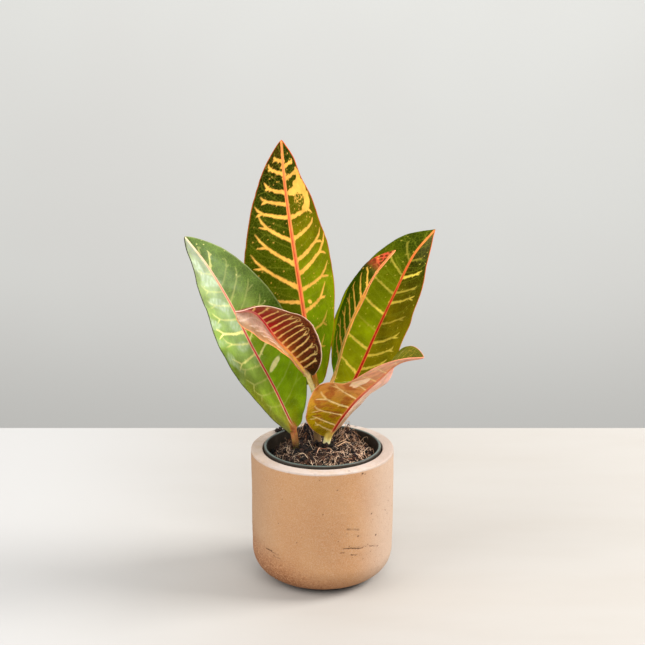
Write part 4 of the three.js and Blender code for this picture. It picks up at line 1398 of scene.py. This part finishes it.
def build_fibres(material):
    rng = np.random.default_rng(141)
    x, y = on_soil(rng, FIBRES)
    length = rng.gamma(4, 1.1, FIBRES).clip(1.5, 9)
    arch = rng.gamma(1.6, 0.45, FIBRES).clip(0, 2.4)
    rise = rng.uniform(-0.4, 0.9, FIBRES)
    bold = rng.uniform(size=FIBRES) < 0.27 + 0.006 * x  # bright ones, more of them at the right
    length[bold] *= 1.4
    paths = fibre_paths(rng, x, y, length, arch, rise)
    radii = thread_radii(rng, FIBRES, 0.06, 0.15)
    radii[bold] *= 1.35
    colours = picked(rng, FIBRE_COLOURS, FIBRES, 0.5, 1.0)
    colours[bold] = BOLD_FIBRE * rng.uniform(0.75, 1.1, (bold.sum(), 1))
    colours = colours * (0.72 + 0.012 * x)[:, None]  # the left lies in the leaves' shadow
    tubes("soil_fibres", paths, radii, colours, material)
    build_tufts(rng, material)


def build_tufts(rng, material):
    """Threads that stand out of the two heaps at the back, mostly the right one."""
    heap = rng.choice(2, TUFT_FIBRES, p=[0.3, 0.7])
    middle = np.array([HEAPS[0][0], HEAPS[1][0]])[heap] + rng.normal(0, 3.4, (TUFT_FIBRES, 2))
    length = rng.gamma(5, 0.9, TUFT_FIBRES).clip(1.5, 8)
    rise = rng.gamma(2, 0.8, TUFT_FIBRES).clip(0, 4.5)
    paths = fibre_paths(rng, middle[:, 0], middle[:, 1], length, 0.6 * rise, rise)
    radii = thread_radii(rng, TUFT_FIBRES, 0.08, 0.18)
    tubes("soil_tufts", paths, radii, picked(rng, FIBRE_COLOURS, TUFT_FIBRES, 0.65, 1.1), material)


# Bits large enough to tell apart in the photo: points on the soil as (x, y, height over it).
ROOTS = [
    ([(-1.5, -2.5, 1.4), (-2.2, -6, 2.6), (-3.4, -9.5, 1.2)], 0.21, rgb(205, 160, 130)),
    ([(2.5, -1.5, 1.0), (4.6, -4.5, 2.2), (3.9, -9, 1.0)], 0.15, rgb(196, 156, 124)),
    ([(-4, -1.5, 0.8), (0, -3, 1.6), (4.5, -2, 0.9)], 0.14, rgb(176, 112, 84)),
    ([(-13, -7.5, 0.8), (-10, -9.5, 1.6), (-7, -13, 0.7)], 0.24, rgb(206, 176, 146)),
    ([(8, 2, 0.8), (12, 5, 2.6), (14.5, 10, 1.2)], 0.25, rgb(216, 176, 140)),
    ([(6, 6, 0.8), (9.5, 6.5, 2.4), (12.5, 8.5, 3.4)], 0.19, rgb(220, 180, 140)),
    ([(-6.5, 7, 2), (-7.5, 2, 4), (-5, -1.5, 1)], 0.14, rgb(205, 180, 150)),
    ([(20, 3, 0.6), (21.5, 4.5, 3), (23, 5.5, 4.4)], 0.15, rgb(196, 170, 140)),
    ([(22, 1, 0.6), (24, 3.5, 2.6), (25.5, 6, 2.2)], 0.15, rgb(206, 178, 150)),
    ([(-18, -3.5, 0.4), (-19, -1.5, 2.6), (-18.5, 0.5, 4)], 0.15, rgb(200, 168, 138)),
    ([(9, -15, 0.6), (14, -12.5, 1.4), (18, -8, 0.6)], 0.2, rgb(176, 122, 88)),
    ([(-9, 13, 7), (-5.5, 14, 9.5), (1, 13, 10.5)], 0.17, rgb(40, 34, 30)),
]


def build_roots(material):
    paths, radii, colours = [], [], []
    for points, radius, colour in ROOTS:
        x, y, up = np.array(points, float).T
        curve = smooth_curve(np.stack([x, y, soil_level(x, y) + up], 1))
        paths.append(at_distances(curve, np.linspace(0, run_of(curve)[-1], 16)))
        radii.append(radius * np.linspace(1, 0.6, 16))
        colours.append(colour)
    tubes("soil_roots", np.array(paths), np.array(radii), np.array(colours), material, sides=10)


# ---------------------------------------------------------------- floor, backdrop, camera and lights
FLOOR_HALF_WIDTH = 1600
FLOOR_FRONT = -1500
BACKDROP_PLACE = 1600
BACKDROP_TOP = 1800
BACKDROP_FOOT = -1400


def stage_piece(name, points, material):
    mesh = make_mesh(name + "_sheet", points, [[0, 1, 2, 3]])
    mesh.materials.append(material)
    sheet = bpy.data.objects.new(name, mesh)
    bpy.context.scene.collection.objects.link(sheet)


def build_stage():
    table = Skin("table_paint", roughness=0.75, specular_ior_level=0.3)
    worn = table.speckle(0.35, 0.7, feature=60, detail=4, stretch=(0.25, 1, 1))
    cream = table.blend(rgb(172, 168, 163), rgb(169, 164, 158), worn)
    # painted light: the table painted paler and greyer towards the left, away from the key lamp
    painted_light_leftwards = table.ramp(table.along("X"), 20, -200)
    table.set("Base Color", table.blend(cream, rgb(182, 181, 180), painted_light_leftwards))
    wall = Skin("wall_paint", roughness=0.9, specular_ior_level=0.1)
    grey = wall.blend(rgb(191, 192, 190), rgb(189, 189, 187), wall.speckle(0.3, 0.7, feature=400, detail=2))
    # painted shade: the wall painted darker towards the bottom
    painted_shade_downwards = wall.ramp(wall.along("Z"), -260, -560)
    wall.set("Base Color", wall.blend(grey, rgb(174, 174, 172), painted_shade_downwards))
    half, front, back = FLOOR_HALF_WIDTH, FLOOR_FRONT, TABLE_BACK_EDGE
    table_corners = [(-half, front, 0), (half, front, 0), (half, back, 0), (-half, back, 0)]
    stage_piece("floor", table_corners, table.material)
    wide, low, top = 2 * half, BACKDROP_FOOT, BACKDROP_TOP
    wall_corners = [(x, BACKDROP_PLACE, z) for x, z in ((-wide, low), (wide, low), (wide, top), (-wide, top))]
    stage_piece("backdrop", wall_corners, wall.material)


def add_camera():
    data = bpy.data.cameras.new("photo_camera")
    data.sensor_width = SENSOR_WIDTH
    data.lens = SENSOR_WIDTH * CAMERA_FOCAL_PIXELS / PHOTO_PIXELS
    data.clip_start = 0.01
    camera = bpy.data.objects.new("photo_camera", data)
    camera.location = Vector(CAMERA_PLACE) * MM
    camera.rotation_euler = (math.radians(90 - CAMERA_PITCH), 0, 0)
    bpy.context.scene.collection.objects.link(camera)
    bpy.context.scene.camera = camera


def add_light(name, place, target, size, power, colour):
    data = bpy.data.lights.new(name, "AREA")
    data.shape = "RECTANGLE"
    data.size, data.size_y = size
    data.energy = power
    data.color = colour
    light = bpy.data.objects.new(name, data)
    light.location = place
    light.rotation_euler = (Vector(target) - Vector(place)).to_track_quat("-Z", "Y").to_euler()
    bpy.context.scene.collection.objects.link(light)


def light_stage():
    add_light("key_softbox", (1.2, 0.05, 0.95), (0, 0, 0.1), (0.7, 0.7), 30, (1, 0.985, 0.96))
    add_light("fill_left", (-1.2, -0.7, 1.0), (0, 0, 0.12), (1.2, 1.2), 17, (1, 0.985, 0.965))
    add_light("fill_front", (0.3, -1.5, 1.4), (0, 0, 0.12), (1.4, 1.0), 22, (1, 0.99, 0.98))
    add_light("wall_light", (0, 0.9, 1.3), (0, 1.6, 0.6), (2.0, 0.5), 13, (1, 1, 1))
    world = bpy.data.worlds.new("studio")
    world.use_nodes = True
    background = world.node_tree.nodes["Background"]
    background.inputs["Color"].default_value = (0.96, 0.95, 0.93, 1)
    background.inputs["Strength"].default_value = 0.68
    bpy.context.scene.world = world
    bpy.context.scene.view_settings.view_transform = "Standard"


# ---------------------------------------------------------------- the whole
add_camera()
light_stage()
build_stage()
build_planter()
build_nursery_pot()
build_soil_bed()
build_crumbs()
build_chips()
fibre_skin = soil_material("soil_fibre_skin", 0.75, 1.25)
build_fibres(fibre_skin)
build_roots(fibre_skin)
build_stem()
for number, (leaf_name, leaf_shape) in enumerate(LEAVES.items()):
    build_leaf(leaf_name, leaf_shape, 1000 + 100 * number)


bpy.context.view_layer.update()
